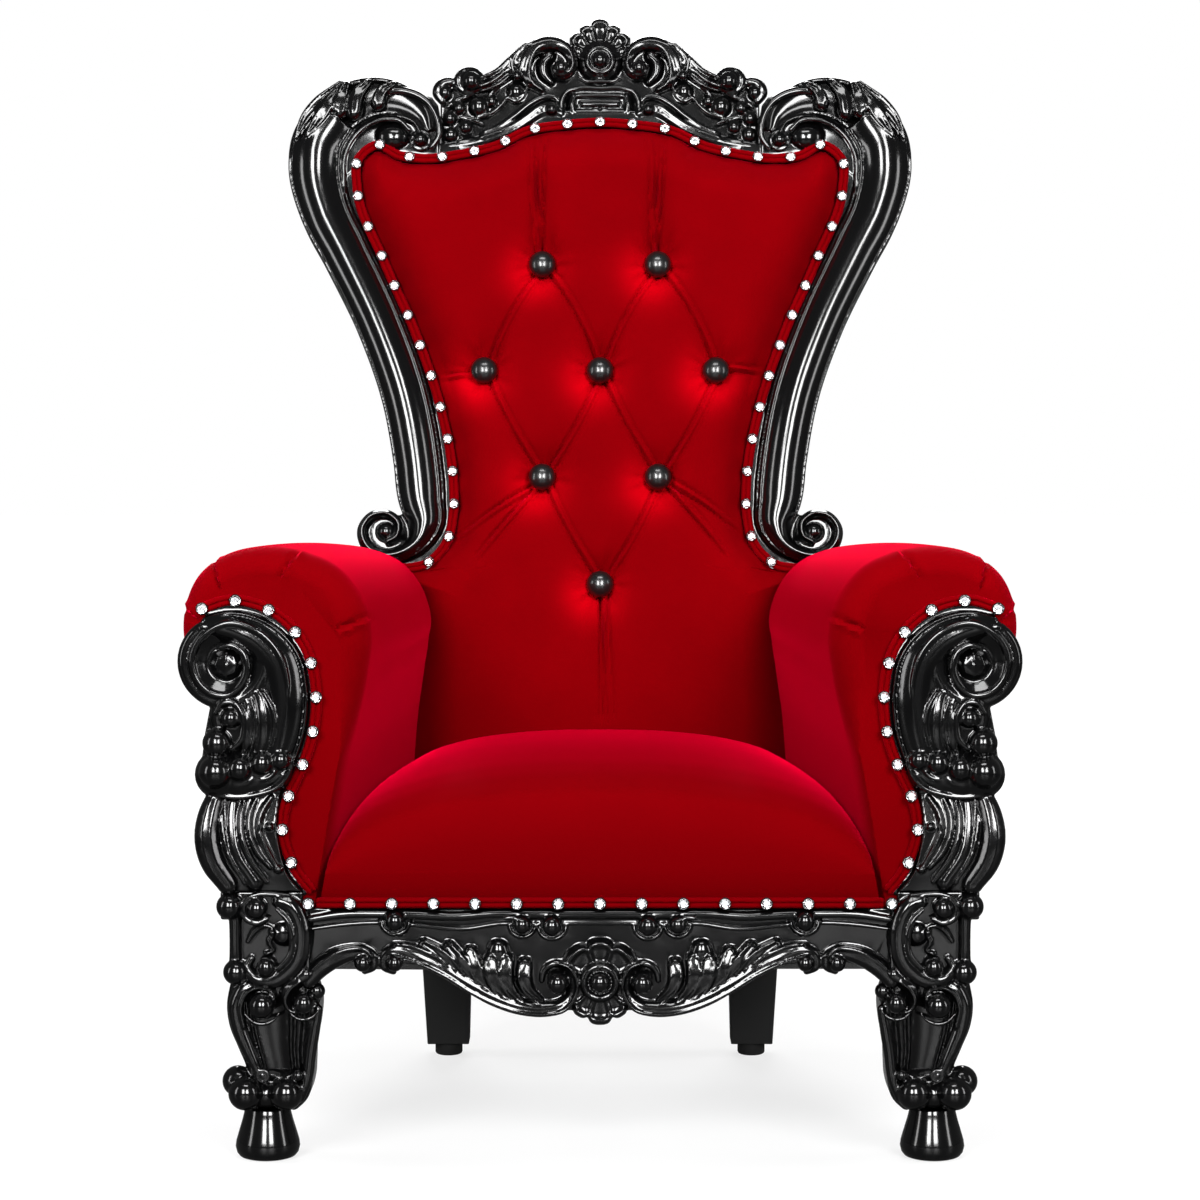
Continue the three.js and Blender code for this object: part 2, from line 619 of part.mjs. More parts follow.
function backGlide() {
  const profile = [[0, 0], [15, 0], [16, 3], [16, GLIDE_TOP], [0, GLIDE_TOP]];
  return solid(turned(profile, 8).translate(GLIDE_X, BACK_LEG_Y, 0));
}

// Line of the welt on the arm front, round the scroll and down beside the column
const ARM_WELT = [
  [400, 566], [374, 574], [345, 570], [317, 554], [297, 528], [287, 494], [286.5, 460], [292, 430],
  [302, 403],
  [313, 379], [320, 355], [320, 335], [313, 312], [304, 295], [292, 280],
];

pair("arm_post", armPost(), lacquer, front);
pair("front_leg", frontLeg(), lacquer, front);
pair("front_foot", frontFoot(), satin, chair);
piece("front_rail", frontRail(), lacquer, front);
pair("side_rail", sideRail(), satin, chair);
piece("back_rail", solid(block([-250, 200, RAIL_BOTTOM], [250, 236, RAIL_TOP])), satin, chair);
pair("back_leg", backLeg(), satin, chair);
pair("back_glide", backGlide(), rubber, chair);

pair("back_post", backPost(), lacquer, back);
piece("crest_rail", crestRail(), lacquer, back);
piece("back_cushion", backCushion(), velvet, back);
const outerBack = plate(cushionOutline(-4, 18), POST_BACK + 2, CUSHION.back - GAP);
piece("outer_back", solid(outerBack), velvet, back);
BUTTONS.forEach(([u, v], i) => piece(`back_button_${i + 1}`, backButton(u, v), satin, back));
piece("back_trim", welt(across(BACK_WELT), 3, 37), crystal, back);

pair("arm", arm(), velvet, chair);
piece("seat", seat(), velvet, chair);
pair("arm_trim", welt(ARM_WELT, POST_REAR, 11), crystal, front);
const SEAT_WELT = [284, 0, -284].map((u) => [u, SEAT_WELT_Z]);
piece("seat_trim", welt(SEAT_WELT, SEAT_WELT_FLOOR, 14), crystal, front);

export default chair;
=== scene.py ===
"""Looks of a throne: carved lacquer, buttoned velvet and cut-glass nailheads over the fixed CAD frame.

Carved work is drawn in two flat frames in millimetres: u runs right, v up and w out of the carved face.
The front frame stands upright at the apron, knees and arm fronts. The back frame leans with the back.
"""
import math

import bmesh
import bpy
import numpy as np
from mathutils import Matrix, Vector


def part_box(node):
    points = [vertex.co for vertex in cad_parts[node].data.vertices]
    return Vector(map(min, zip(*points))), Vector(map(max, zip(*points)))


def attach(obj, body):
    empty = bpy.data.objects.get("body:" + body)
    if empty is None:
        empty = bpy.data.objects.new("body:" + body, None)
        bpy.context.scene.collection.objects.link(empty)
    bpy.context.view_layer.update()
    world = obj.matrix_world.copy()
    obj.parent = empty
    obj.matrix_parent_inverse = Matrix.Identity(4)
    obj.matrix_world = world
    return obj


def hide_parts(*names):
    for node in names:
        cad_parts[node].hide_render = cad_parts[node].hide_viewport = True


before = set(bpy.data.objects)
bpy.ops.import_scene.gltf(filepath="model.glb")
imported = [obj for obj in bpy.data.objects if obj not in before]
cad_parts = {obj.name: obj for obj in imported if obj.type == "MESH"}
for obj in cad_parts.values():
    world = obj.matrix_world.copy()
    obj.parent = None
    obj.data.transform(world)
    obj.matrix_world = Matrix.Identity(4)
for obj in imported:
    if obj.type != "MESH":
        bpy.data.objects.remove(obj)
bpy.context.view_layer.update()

bl_info = {
    "name": "Throne",
    "version": (1, 0, 0),
    "blender": (4, 5, 0),
    "location": "View3D > Sidebar > Throne",
    "description": "Dresses the frame of a carved and buttoned throne",
    "category": "Object",
}

BODY = "root"
MM = 0.001

# Frames of the carved work and the lines that the pieces share, in millimetres
FRONT_Y = -330
BACK_Y = 190
BACK_Z = 460
LEAN = math.radians(9)
FRONT = Matrix.Translation((0, FRONT_Y, 0)) @ Matrix.Rotation(math.pi / 2, 4, "X")
BACK = Matrix.Translation((0, BACK_Y, BACK_Z)) @ Matrix.Rotation(math.pi / 2 - LEAN, 4, "X")
WORLD = Matrix.Identity(4)
ARM_FRONT_Y = -318
ARM_BACK_Y = 216
ARM_FACE = FRONT_Y - ARM_FRONT_Y + 0.4  # rear of the arm posts, in the front frame
POST_REAR = -42  # rear of the back posts, in the back frame
SOFT_BOTTOM = 262.3
BUTTON_LOW = 94  # height of the lowest row of buttons
BUTTON_STEP_U = 67.5
BUTTON_STEP_V = 125
BUTTON_ROWS = ((0,), (-1, 1), (-2, 0, 2), (-1, 1))  # places in each row from the lowest up, in steps
BUTTONS = []
for row, steps in enumerate(BUTTON_ROWS):
    BUTTONS += [(step * BUTTON_STEP_U, BUTTON_LOW + row * BUTTON_STEP_V) for step in steps]

# Lines of the welts, for the +X side
BACK_WELT = [
    (236, 113), (203, 119), (181, 140), (171, 177), (171, 217), (186, 301), (217, 393), (254, 477),
    (285, 561), (283, 599), (262, 614), (237, 602), (203, 598), (165, 603), (123, 613), (85, 631),
    (43, 638), (0, 641),
]
ARM_WELT = [
    (400, 566), (374, 574), (345, 570), (317, 554), (297, 528), (287, 494), (286.5, 460), (292, 430),
    (302, 403), (313, 379), (320, 355), (320, 335), (313, 312), (304, 295), (292, 280),
]
SEAT_WELT_Z = 268.5


class ThroneSizes(bpy.types.PropertyGroup):
    """Sizes that a user would change."""

    carving_voxel: bpy.props.FloatProperty(
        name="Carving voxel", description="Fineness of the carved skin, in millimetres", default=1.05,
        min=0.8)
    carving_faces: bpy.props.IntProperty(
        name="Carving faces", description="Triangles kept on each carved piece", default=68000)
    welt: bpy.props.FloatProperty(
        name="Welt cord", description="Radius of one cord of the double welt, in millimetres", default=2.9)
    nail: bpy.props.FloatProperty(
        name="Nailhead", description="Radius of a cut-glass nailhead, in millimetres", default=5.6)
    button: bpy.props.FloatProperty(
        name="Button", description="Radius of a back button, in millimetres", default=15.5)
    dimple: bpy.props.FloatProperty(
        name="Dimple", description="Depth that a button draws the back in, in millimetres", default=27)
    pleat: bpy.props.FloatProperty(
        name="Pleat", description="Depth of a pleat between two buttons, in millimetres", default=6.2)


class ThroneColours(bpy.types.PropertyGroup):
    """Colours of the finishes."""

    velvet: bpy.props.FloatVectorProperty(
        name="Velvet", description="Velvet seen along its pile", subtype="COLOR", size=4,
        default=(0.2, 0.0, 0.0015, 1))
    velvet_deep: bpy.props.FloatVectorProperty(
        name="Deep velvet", description="Velvet where the pile is brushed away", subtype="COLOR", size=4,
        default=(0.12, 0.0, 0.001, 1))
    # Painted shade: the velvet is painted darker low down, near the seat's front edge and the arms' lower
    # fronts, to stand in for the shade there
    velvet_low_shade: bpy.props.FloatVectorProperty(
        name="Low velvet", description="Velvet near the seat's front edge, brushed downwards",
        subtype="COLOR", size=4, default=(0.13, 0.0, 0.001, 1))
    sheen: bpy.props.FloatVectorProperty(
        name="Sheen", description="Light that the tips of the pile scatter", subtype="COLOR", size=4,
        default=(1.0, 0.0, 0.035, 1))
    lacquer: bpy.props.FloatVectorProperty(
        name="Lacquer", description="Carved and polished frame", subtype="COLOR", size=4,
        default=(0.0012, 0.0012, 0.0013, 1))
    satin: bpy.props.FloatVectorProperty(
        name="Satin black", description="Feet, legs and plain rails", subtype="COLOR", size=4,
        default=(0.004, 0.004, 0.0042, 1))
    foil: bpy.props.FloatVectorProperty(
        name="Foil", description="Silver behind the cut glass", subtype="COLOR", size=4,
        default=(0.92, 0.93, 0.95, 1))


def sizes():
    return bpy.context.scene.throne_sizes


def colours():
    return bpy.context.scene.throne_colours


class Wire:
    """A node's output that takes part in Python arithmetic."""

    def __init__(self, paint, socket):
        self.paint = paint
        self.socket = socket

    def math(self, operation, first, second):
        return self.paint.node("ShaderNodeMath", {"operation": operation}, {0: first, 1: second})

    def __add__(self, other):
        return self.math("ADD", self, other)

    def __radd__(self, other):
        return self.math("ADD", other, self)

    def __sub__(self, other):
        return self.math("SUBTRACT", self, other)

    def __rsub__(self, other):
        return self.math("SUBTRACT", other, self)

    def __mul__(self, other):
        return self.math("MULTIPLY", self, other)

    def __rmul__(self, other):
        return self.math("MULTIPLY", other, self)


class Paint:
    """One material: a principled shader and the nodes that feed it."""

    def __init__(self, name, **plain):
        self.material = bpy.data.materials.new(name)
        self.material.use_nodes = True
        self.tree = self.material.node_tree
        self.shader = self.tree.nodes["Principled BSDF"]
        for socket, value in plain.items():
            self.set(socket.replace("_", " ").title().replace("Ior", "IOR"), value)

    def set(self, socket, value):
        self.feed(self.shader.inputs[socket], value)

    def feed(self, socket, value):
        if isinstance(value, Wire):
            self.tree.links.new(value.socket, socket)
        else:
            socket.default_value = value

    def node(self, kind, settings=None, inputs=None, output=0):
        made = self.tree.nodes.new(kind)
        for key, value in (settings or {}).items():
            setattr(made, key, value)
        for key, value in (inputs or {}).items():
            self.feed(made.inputs[key], value)
        return Wire(self, made.outputs[output])

    def place(self):
        return self.node("ShaderNodeTexCoord", output="Object")

    def noise(self, scale, detail=2.0, roughness=0.5):
        inputs = {"Vector": self.place(), "Scale": scale, "Detail": detail, "Roughness": roughness}
        return self.node("ShaderNodeTexNoise", inputs=inputs)

    def mix(self, share, first, second):
        return self.node("ShaderNodeMix", {"data_type": "RGBA"}, {0: share, 6: first, 7: second}, output=2)

    def bump(self, height, strength, distance):
        inputs = {"Height": height, "Strength": strength, "Distance": distance}
        self.set("Normal", self.node("ShaderNodeBump", inputs=inputs))


def brighter(colour, share):
    return tuple(min(1.0, value * share) for value in colour[:3]) + (1.0,)


def grey(level):
    return (level, level, level, 1)


def lacquer_paint():
    base = colours().lacquer
    paint = Paint("black_lacquer", ior=1.5, coat_weight=0.3, coat_roughness=0.05)
    cloud = paint.noise(7.0, 3.0)
    paint.set("Base Color", paint.mix(cloud, base, brighter(base, 1.8)))
    paint.set("Roughness", 0.11 + 0.05 * cloud)
    paint.bump(paint.noise(90.0, 2.0), 0.02, 0.002)
    return paint.material


def satin_paint():
    base = colours().satin
    paint = Paint("satin_black", ior=1.5, coat_weight=0.3, coat_roughness=0.08)
    cloud = paint.noise(14.0, 4.0)
    paint.set("Base Color", paint.mix(cloud, base, brighter(base, 1.9)))
    paint.set("Roughness", 0.15 + 0.06 * cloud)
    paint.bump(paint.noise(160.0, 2.0), 0.02, 0.0006)
    return paint.material


def button_paint():
    base = colours().satin
    paint = Paint("button_black", ior=1.5, coat_weight=0.6, coat_roughness=0.08)
    cloud = paint.noise(60.0, 2.0)
    paint.set("Base Color", paint.mix(cloud, base, brighter(base, 1.5)))
    paint.set("Roughness", 0.24 + 0.1 * cloud)
    return paint.material


def rubber_paint():
    paint = Paint("rubber")
    grain = paint.noise(600.0, 3.0)
    paint.set("Base Color", paint.mix(grain, grey(0.008), grey(0.02)))
    paint.set("Roughness", 0.6 + 0.2 * grain)
    return paint.material


LOW_SHADE_HEIGHTS = (0.26, 0.48)  # heights in metres over which the velvet painted darker low down, as painted shade, passes into the unshaded velvet
PAINTED_SHEEN = "pile"  # attribute: a painted sheen highlight, how much brighter the velvet is painted beside each button


def velvet_paint():
    tone = colours()
    paint = Paint("red_velvet", sheen_weight=1.0, sheen_roughness=0.3, sheen_tint=tone.sheen,
                  specular_ior_level=0.1, specular_tint=tone.sheen)
    brushed = paint.noise(11.0, 5.0, 0.6)
    pile = paint.noise(1300.0, 2.0, 0.7)
    share = brushed * 0.75 + pile * 0.35
    # Painted shade: the velvet is painted darker towards the bottom, below the upper of these heights
    height = paint.node("ShaderNodeSeparateXYZ", inputs={0: paint.place()}, output="Z")
    unshaded_share = paint.node("ShaderNodeMapRange", {"interpolation_type": "SMOOTHSTEP"},
                        {"Value": height, "From Min": LOW_SHADE_HEIGHTS[0], "From Max": LOW_SHADE_HEIGHTS[1]})
    even = paint.mix(unshaded_share, tone.velvet_low_shade, paint.mix(share, tone.velvet_deep, tone.velvet))
    # Painted sheen highlight: the base colour is scaled up beside each button by the marked attribute
    drawn = paint.node("ShaderNodeAttribute", {"attribute_name": PAINTED_SHEEN}, output="Fac")
    lit = paint.node("ShaderNodeVectorMath", {"operation": "SCALE"}, {0: even, "Scale": 1 + drawn})
    paint.set("Base Color", lit)
    paint.set("Roughness", 0.78 + 0.2 * pile)
    paint.bump(pile, 0.3, 0.0005)
    return paint.material


def crystal_paint():
    paint = Paint("cut_glass", roughness=0.0, ior=1.6, transmission_weight=1.0)
    paint.set("Base Color", (0.97, 0.98, 1.0, 1))
    return paint.material


def foil_paint():
    base = colours().foil
    paint = Paint("silver_foil", metallic=1.0)
    flecks = paint.noise(700.0, 2.0)
    paint.set("Base Color", paint.mix(flecks, brighter(base, 0.86), base))
    paint.set("Roughness", 0.08 + 0.1 * flecks)
    return paint.material


def setting_paint():
    paint = Paint("dark_setting", metallic=1.0)
    tarnish = paint.noise(500.0, 3.0)
    paint.set("Base Color", paint.mix(tarnish, (0.05, 0.05, 0.055, 1), (0.2, 0.2, 0.21, 1)))
    paint.set("Roughness", 0.2 + 0.25 * tarnish)
    return paint.material


PAINTS = {
    "black_lacquer": lacquer_paint, "satin_black": satin_paint, "button_black": button_paint,
    "rubber": rubber_paint, "red_velvet": velvet_paint, "cut_glass": crystal_paint,
    "silver_foil": foil_paint, "dark_setting": setting_paint,
}


def finish_of(name):
    """The named material, made when it is first asked for."""
    return bpy.data.materials.get(name) or PAINTS[name]()


def only(obj):
    """Selects one object and makes it the active one."""
    bpy.ops.object.select_all(action="DESELECT")
    obj.select_set(True)
    bpy.context.view_layer.objects.active = obj
    return obj


def apply_modifier(obj, kind, **settings):
    modifier = obj.modifiers.new(kind.lower(), kind)
    for key, value in settings.items():
        setattr(modifier, key, value)
    only(obj)
    bpy.ops.object.modifier_apply(modifier=modifier.name)


def edit(obj):
    only(obj)
    bpy.ops.object.mode_set(mode="EDIT")
    bpy.ops.mesh.select_all(action="SELECT")


def leave():
    bpy.ops.object.mode_set(mode="OBJECT")


def shade(obj, degrees):
    """Shades a piece smooth, apart from edges that turn more sharply than an angle."""
    only(obj)
    bpy.ops.object.shade_smooth_by_angle(angle=math.radians(degrees))
    return obj


def put(obj, place):
    """Carries a mesh drawn in millimetres into its place in the chair's frame, in metres."""
    only(obj)
    bpy.ops.object.transform_apply(location=True, rotation=True, scale=True)
    obj.data.transform(Matrix.Scale(MM, 4) @ place)
    return obj


def dress(obj, name, finish, slot, *nodes):
    """Names and paints a finished piece and hangs it on the frame in place of its nodes."""
    obj.name = name
    obj.data.name = name
    obj.data.materials.clear()
    obj.data.materials.append(finish_of(finish))
    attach(obj, BODY)
    if nodes:
        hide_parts(*nodes)
    return obj


def twin(obj):
    """A mirrored copy for the other side, with a mesh of its own."""
    other = obj.copy()
    other.data = obj.data.copy()
    other.data.transform(Matrix.Scale(-1, 4, (1, 0, 0)))
    other.data.flip_normals()
    bpy.context.scene.collection.objects.link(other)
    return other


def dress_pair(obj, name, finish, slot, node=None):
    other = twin(obj)
    for side, piece in (("right", obj), ("left", other)):
        nodes = [f"{node}_{side}"] if node else []
        dress(piece, f"{name}_{side}", finish, slot, *nodes)
    return obj, other


def smooth_line(points, count):
    """Evenly spaced points of a smooth line through given ones. The first two columns give its course."""
    knots = np.asarray(points, float)
    step = np.maximum(np.linalg.norm(np.diff(knots[:, :2], axis=0), axis=1), 1e-6)
    at = np.concatenate([[0.0], np.cumsum(step)])
    slope = np.gradient(knots, at, axis=0)
    along = np.linspace(0, at[-1], count)
    i = np.clip(np.searchsorted(at, along, side="right") - 1, 0, len(at) - 2)
    span = (at[i + 1] - at[i])[:, None]
    x = (along - at[i])[:, None] / span
    start = (1 + 2 * x) * (1 - x) ** 2 * knots[i] + x * (1 - x) ** 2 * span * slope[i]
    end = x**2 * (3 - 2 * x) * knots[i + 1] + x**2 * (x - 1) * span * slope[i + 1]
    return start + end


def normals_of(line):
    """Unit normals to the left of a flat line's course."""
    along = np.gradient(line[:, :2], axis=0)
    along /= np.linalg.norm(along, axis=1)[:, None]
    return np.stack([-along[:, 1], along[:, 0]], axis=1)


def across(line):
    """A line for one side, carried over the middle to the other."""
    other = [(-u, v) for u, v in line if u > 0]
    return list(line) + other[::-1]


def mesh_object(name, points, faces, edges=()):
    mesh = bpy.data.meshes.new(name)
    mesh.from_pydata([tuple(map(float, point)) for point in points], edges, faces)
    mesh.update()
    obj = bpy.data.objects.new(name, mesh)
    bpy.context.scene.collection.objects.link(obj)
    return obj


def skin(rings, capped=True):
    """Points and faces of a skin over closed rings of equal count."""
    count = len(rings[0])
    faces = []
    for ring in range(len(rings) - 1):
        for i in range(count):
            a = ring * count + i
            b = ring * count + (i + 1) % count
            faces.append((a, b, b + count, a + count))
    if capped:
        last = (len(rings) - 1) * count
        faces.append(tuple(range(count))[::-1])
        faces.append(tuple(last + i for i in range(count)))
    return [point for ring in rings for point in ring], faces


def outward(obj):
    edit(obj)
    bpy.ops.mesh.remove_doubles(threshold=1e-4)
    bpy.ops.mesh.normals_make_consistent(inside=False)
    leave()
    return obj


SMOOTHING = 7  # rounds that ease the carved skin
LEAST_ROLL = 0.3  # radius that a roll never falls under


class Carving:
    """The lumps of one carved piece, drawn in a flat frame and then fused under one skin."""

    def __init__(self):
        self.lumps = []

    def keep(self, obj):
        self.lumps.append(obj)
        return obj

    def ball(self, u, v, w, radius, flat=1.0, wide=1.0):
        bpy.ops.mesh.primitive_uv_sphere_add(
            segments=24, ring_count=14, radius=radius, location=(u, v, w), scale=(wide, 1, flat))
        return self.keep(bpy.context.object)

    def balls(self, places):
        for place in places:
            self.ball(*place)

    def ring(self, u, v, w, radius, thick):
        bpy.ops.mesh.primitive_torus_add(
            location=(u, v, w), major_radius=radius, minor_radius=thick, major_segments=40,
            minor_segments=12)
        return self.keep(bpy.context.object)

    def rope(self, stations, w, flat=1.0, fine=5):
        """A round-ended roll through stations of u, v and radius, and a lift where it rises or dips."""
        line = smooth_line(stations, fine * (len(stations) - 1) + 1)
        if line.shape[1] < 4:
            line = np.column_stack([line, np.zeros(len(line))])
        bpy.ops.curve.primitive_nurbs_path_add(location=(0, 0, 0))
        rope = bpy.context.object
        rope.data.splines.clear()
        spline = rope.data.splines.new("POLY")
        spline.points.add(len(line) - 1)
        for point, (u, v, radius, lift) in zip(spline.points, line):
            point.co = (u, v, (w + lift) / flat, 1)
            point.radius = max(radius, LEAST_ROLL)
        rope.data.bevel_depth = 1
        rope.data.bevel_resolution = 3
        rope.data.use_fill_caps = True
        rope.scale.z = flat
        only(rope)
        bpy.ops.object.convert(target="MESH")
        for u, v, radius, lift in (line[0], line[-1]):
            self.ball(u, v, w + lift, max(radius, LEAST_ROLL) * 0.98, flat)
        return self.keep(rope)

    def ropes(self, courses, w, flat=1.0):
        for stations in courses:
            self.rope(stations, w, flat)

    def leaves(self, courses, w, flat, vein_w, spread, share, least):
        """Flattened rolls, each with a vein on either side, as thick as a share of the roll and a least."""
        self.ropes(courses, w, flat)
        for leaf in courses:
            line = np.asarray(leaf, float)
            for shift in (-spread, spread):
                edge = line[:, :2] + normals_of(line) * line[:, 2:3] * shift
                self.rope(np.column_stack([edge, share * line[:, 2] + least, line[:, 3]]), vein_w)

    def arc(self, u, v, radius, start, stop, thick, w):
        """A thin roll along part of a circle, between two angles in degrees, thickest in its middle."""
        turn = np.radians(np.linspace(start, stop, 7))
        swell = thick * (0.45 + 0.55 * np.sin(np.linspace(0, math.pi, 7)))
        self.rope(np.stack([u + radius * np.cos(turn), v + radius * np.sin(turn), swell], axis=1), w, fine=3)

    def shell(self, u, v, lobes, inner, w, floor):
        """A fluted shell about a centre. Each lobe is given as two angles in degrees and its outer reach."""
        rings = []
        for start, stop, outer in lobes:
            for t in np.linspace(-1, 1, 15):
                angle = math.radians(start + (stop - start) * (t + 1) / 2)
                end = outer * (1 - 0.13 * t**4)
                profile = [(inner, floor)]
                for share in np.linspace(0, 1, 14):
                    rim = math.exp(-(((share - 0.84) / 0.11) ** 2)) * (1 - 0.5 * t**4)
                    fall = max(0.0, share - 0.9) * 40
                    ridge = t**6 * (1 - share**4)
                    profile.append((inner + (end - inner) * share, w + 4 * rim + 3 * ridge - fall))
                profile.append((end, floor))
                rings.append([(u + r * math.cos(angle), v + r * math.sin(angle), h) for r, h in profile])
        return self.keep(outward(mesh_object("shell", *skin(rings))))

    def band(self, stations, section, floor, rise, count):
        """A band of a given section through stations of u, v and half width."""
        line = smooth_line(stations, count)
        side = normals_of(line)
        rings = []
        for (u, v, half), (nu, nv) in zip(line, side):
            ring = []
            for n, h in section:
                ring.append((u + nu * n * half, v + nv * n * half, floor + h * (rise - floor)))
            rings.append(ring)
        return self.keep(outward(mesh_object("band", *skin(rings))))

    def pillar(self, stations, section, count):
        """An upright pillar through stations of v, centre, half width, floor and rise."""
        levels = np.asarray(stations, float)
        line = smooth_line(np.column_stack([levels[:, 0], 0 * levels[:, 0], levels[:, 1:]]), count)
        rings = []
        for v, _, centre, half, floor, rise in line:
            rings.append([(centre + n * half, v, floor + h * (rise - floor)) for n, h in section])
        return self.keep(outward(mesh_object("pillar", *skin(rings))))

    def plate(self, outline, low, high):
        plate = mesh_object("plate", [(u, v, low) for u, v in outline], [tuple(range(len(outline)))])
        edit(plate)
        bpy.ops.mesh.extrude_region_move(TRANSFORM_OT_translate={"value": (0, 0, high - low)})
        leave()
        return self.keep(outward(plate))

    def turned(self, u, v, profile):
        """A round form about an axis that stands on the face, from a profile of radius and height."""
        return self.keep(spun(profile, (u, v, 0)))

    def block(self, low, high, soft):
        middle = [(a + b) / 2 for a, b in zip(low, high)]
        bpy.ops.mesh.primitive_cube_add(size=1, location=middle, scale=[b - a for a, b in zip(low, high)])
        cube = bpy.context.object
        bpy.ops.object.transform_apply(location=True, rotation=True, scale=True)
        edit(cube)
        bpy.ops.mesh.bevel(offset=soft, segments=3)
        leave()
        return self.keep(cube)

    def joined(self):
        """The lumps as one object."""
        bpy.ops.object.select_all(action="DESELECT")
        for lump in self.lumps:
            lump.select_set(True)
        piece = self.lumps[0]
        bpy.context.view_layer.objects.active = piece
        bpy.ops.object.join()
        bpy.ops.object.transform_apply(location=True, rotation=True, scale=True)
        return piece

    def fuse(self, mirror=False, rear=None):
        """Joins the lumps, skins them over, eases the skin and cuts it flat at the rear."""
        piece = self.joined()
        if mirror:
            apply_modifier(piece, "MIRROR", use_mirror_merge=False)
            outward(piece)
        apply_modifier(piece, "REMESH", mode="VOXEL", voxel_size=sizes().carving_voxel)
        apply_modifier(piece, "SMOOTH", factor=0.5, iterations=SMOOTHING)
        if rear is not None:
            edit(piece)
            bpy.ops.mesh.bisect(plane_co=(0, 0, rear), plane_no=(0, 0, 1), use_fill=True, clear_inner=True)
            leave()
        apply_modifier(piece, "TRIANGULATE")
        share = sizes().carving_faces / len(piece.data.polygons)
        if share < 1:
            apply_modifier(piece, "DECIMATE", ratio=share)
        return shade(piece, 60)


def spun(profile, centre, steps=48):
    """A turned form about an upright axis, from a profile of radius and height that ends on the axis."""
    points = [(radius, 0, height) for radius, height in profile]
    lathe = mesh_object("turned", points, [], [(i, i + 1) for i in range(len(points) - 1)])
    edit(lathe)
    bpy.ops.mesh.spin(steps=steps, angle=2 * math.pi, center=(0, 0, 0), axis=(0, 0, 1))
    leave()
    outward(lathe)
    lathe.data.transform(Matrix.Translation(centre))
    return lathe


# Carved pieces


def crown(parts, count=90):
    """A section of gentle swells, each as start, stop, edge height and crest height, from -1 to 1 across."""
    section = [(-1.0, 0.0)]
    for start, stop, edge, crest in parts:
        for n in np.linspace(start, stop, max(4, int(count * (stop - start) / 2))):
            reach = 2 * (n - start) / (stop - start) - 1
            section.append((n, crest - (crest - edge) * reach**2))
    return section + [(1.0, 0.0)]


FLANGE = crown([(-1, -0.88, 0.56, 0.68), (-0.85, 1, 0.4, 1.0)])
COLUMN = crown([(-1, 1, 0.62, 0.72)])
LEG = crown([(-1, -0.7, 0.86, 0.95), (-0.66, -0.5, 0.88, 0.93), (-0.46, -0.34, 0.89, 0.95),
             (-0.3, 0.32, 0.9, 0.87), (0.36, 0.46, 0.89, 0.95), (0.5, 0.62, 0.88, 0.93),
             (0.66, 1, 0.86, 0.92)], 160)
POST = crown([(-1, -0.9, 0.8, 0.85), (-0.87, 0.7, 0.84, 1.0), (0.74, 0.86, 0.8, 0.875),
              (0.89, 1, 0.74, 0.77)])
COIL = crown([(-1, -0.7, 0.9, 0.97), (-0.68, 0.7, 0.9, 0.84), (0.74, 1, 0.84, 0.93)])
TAPE = [(-1, 0), (-1, 1), (1, 1), (1, 0)]
WELT_BED = 8  # half width of the ledge of wood beside a welt


def beside(line, offset, half):
    """Stations of a band that runs beside a line, to the left of its course."""
    course = smooth_line(line, 6 * len(line))
    return np.column_stack([course + normals_of(course) * offset, np.full(len(course), half)])


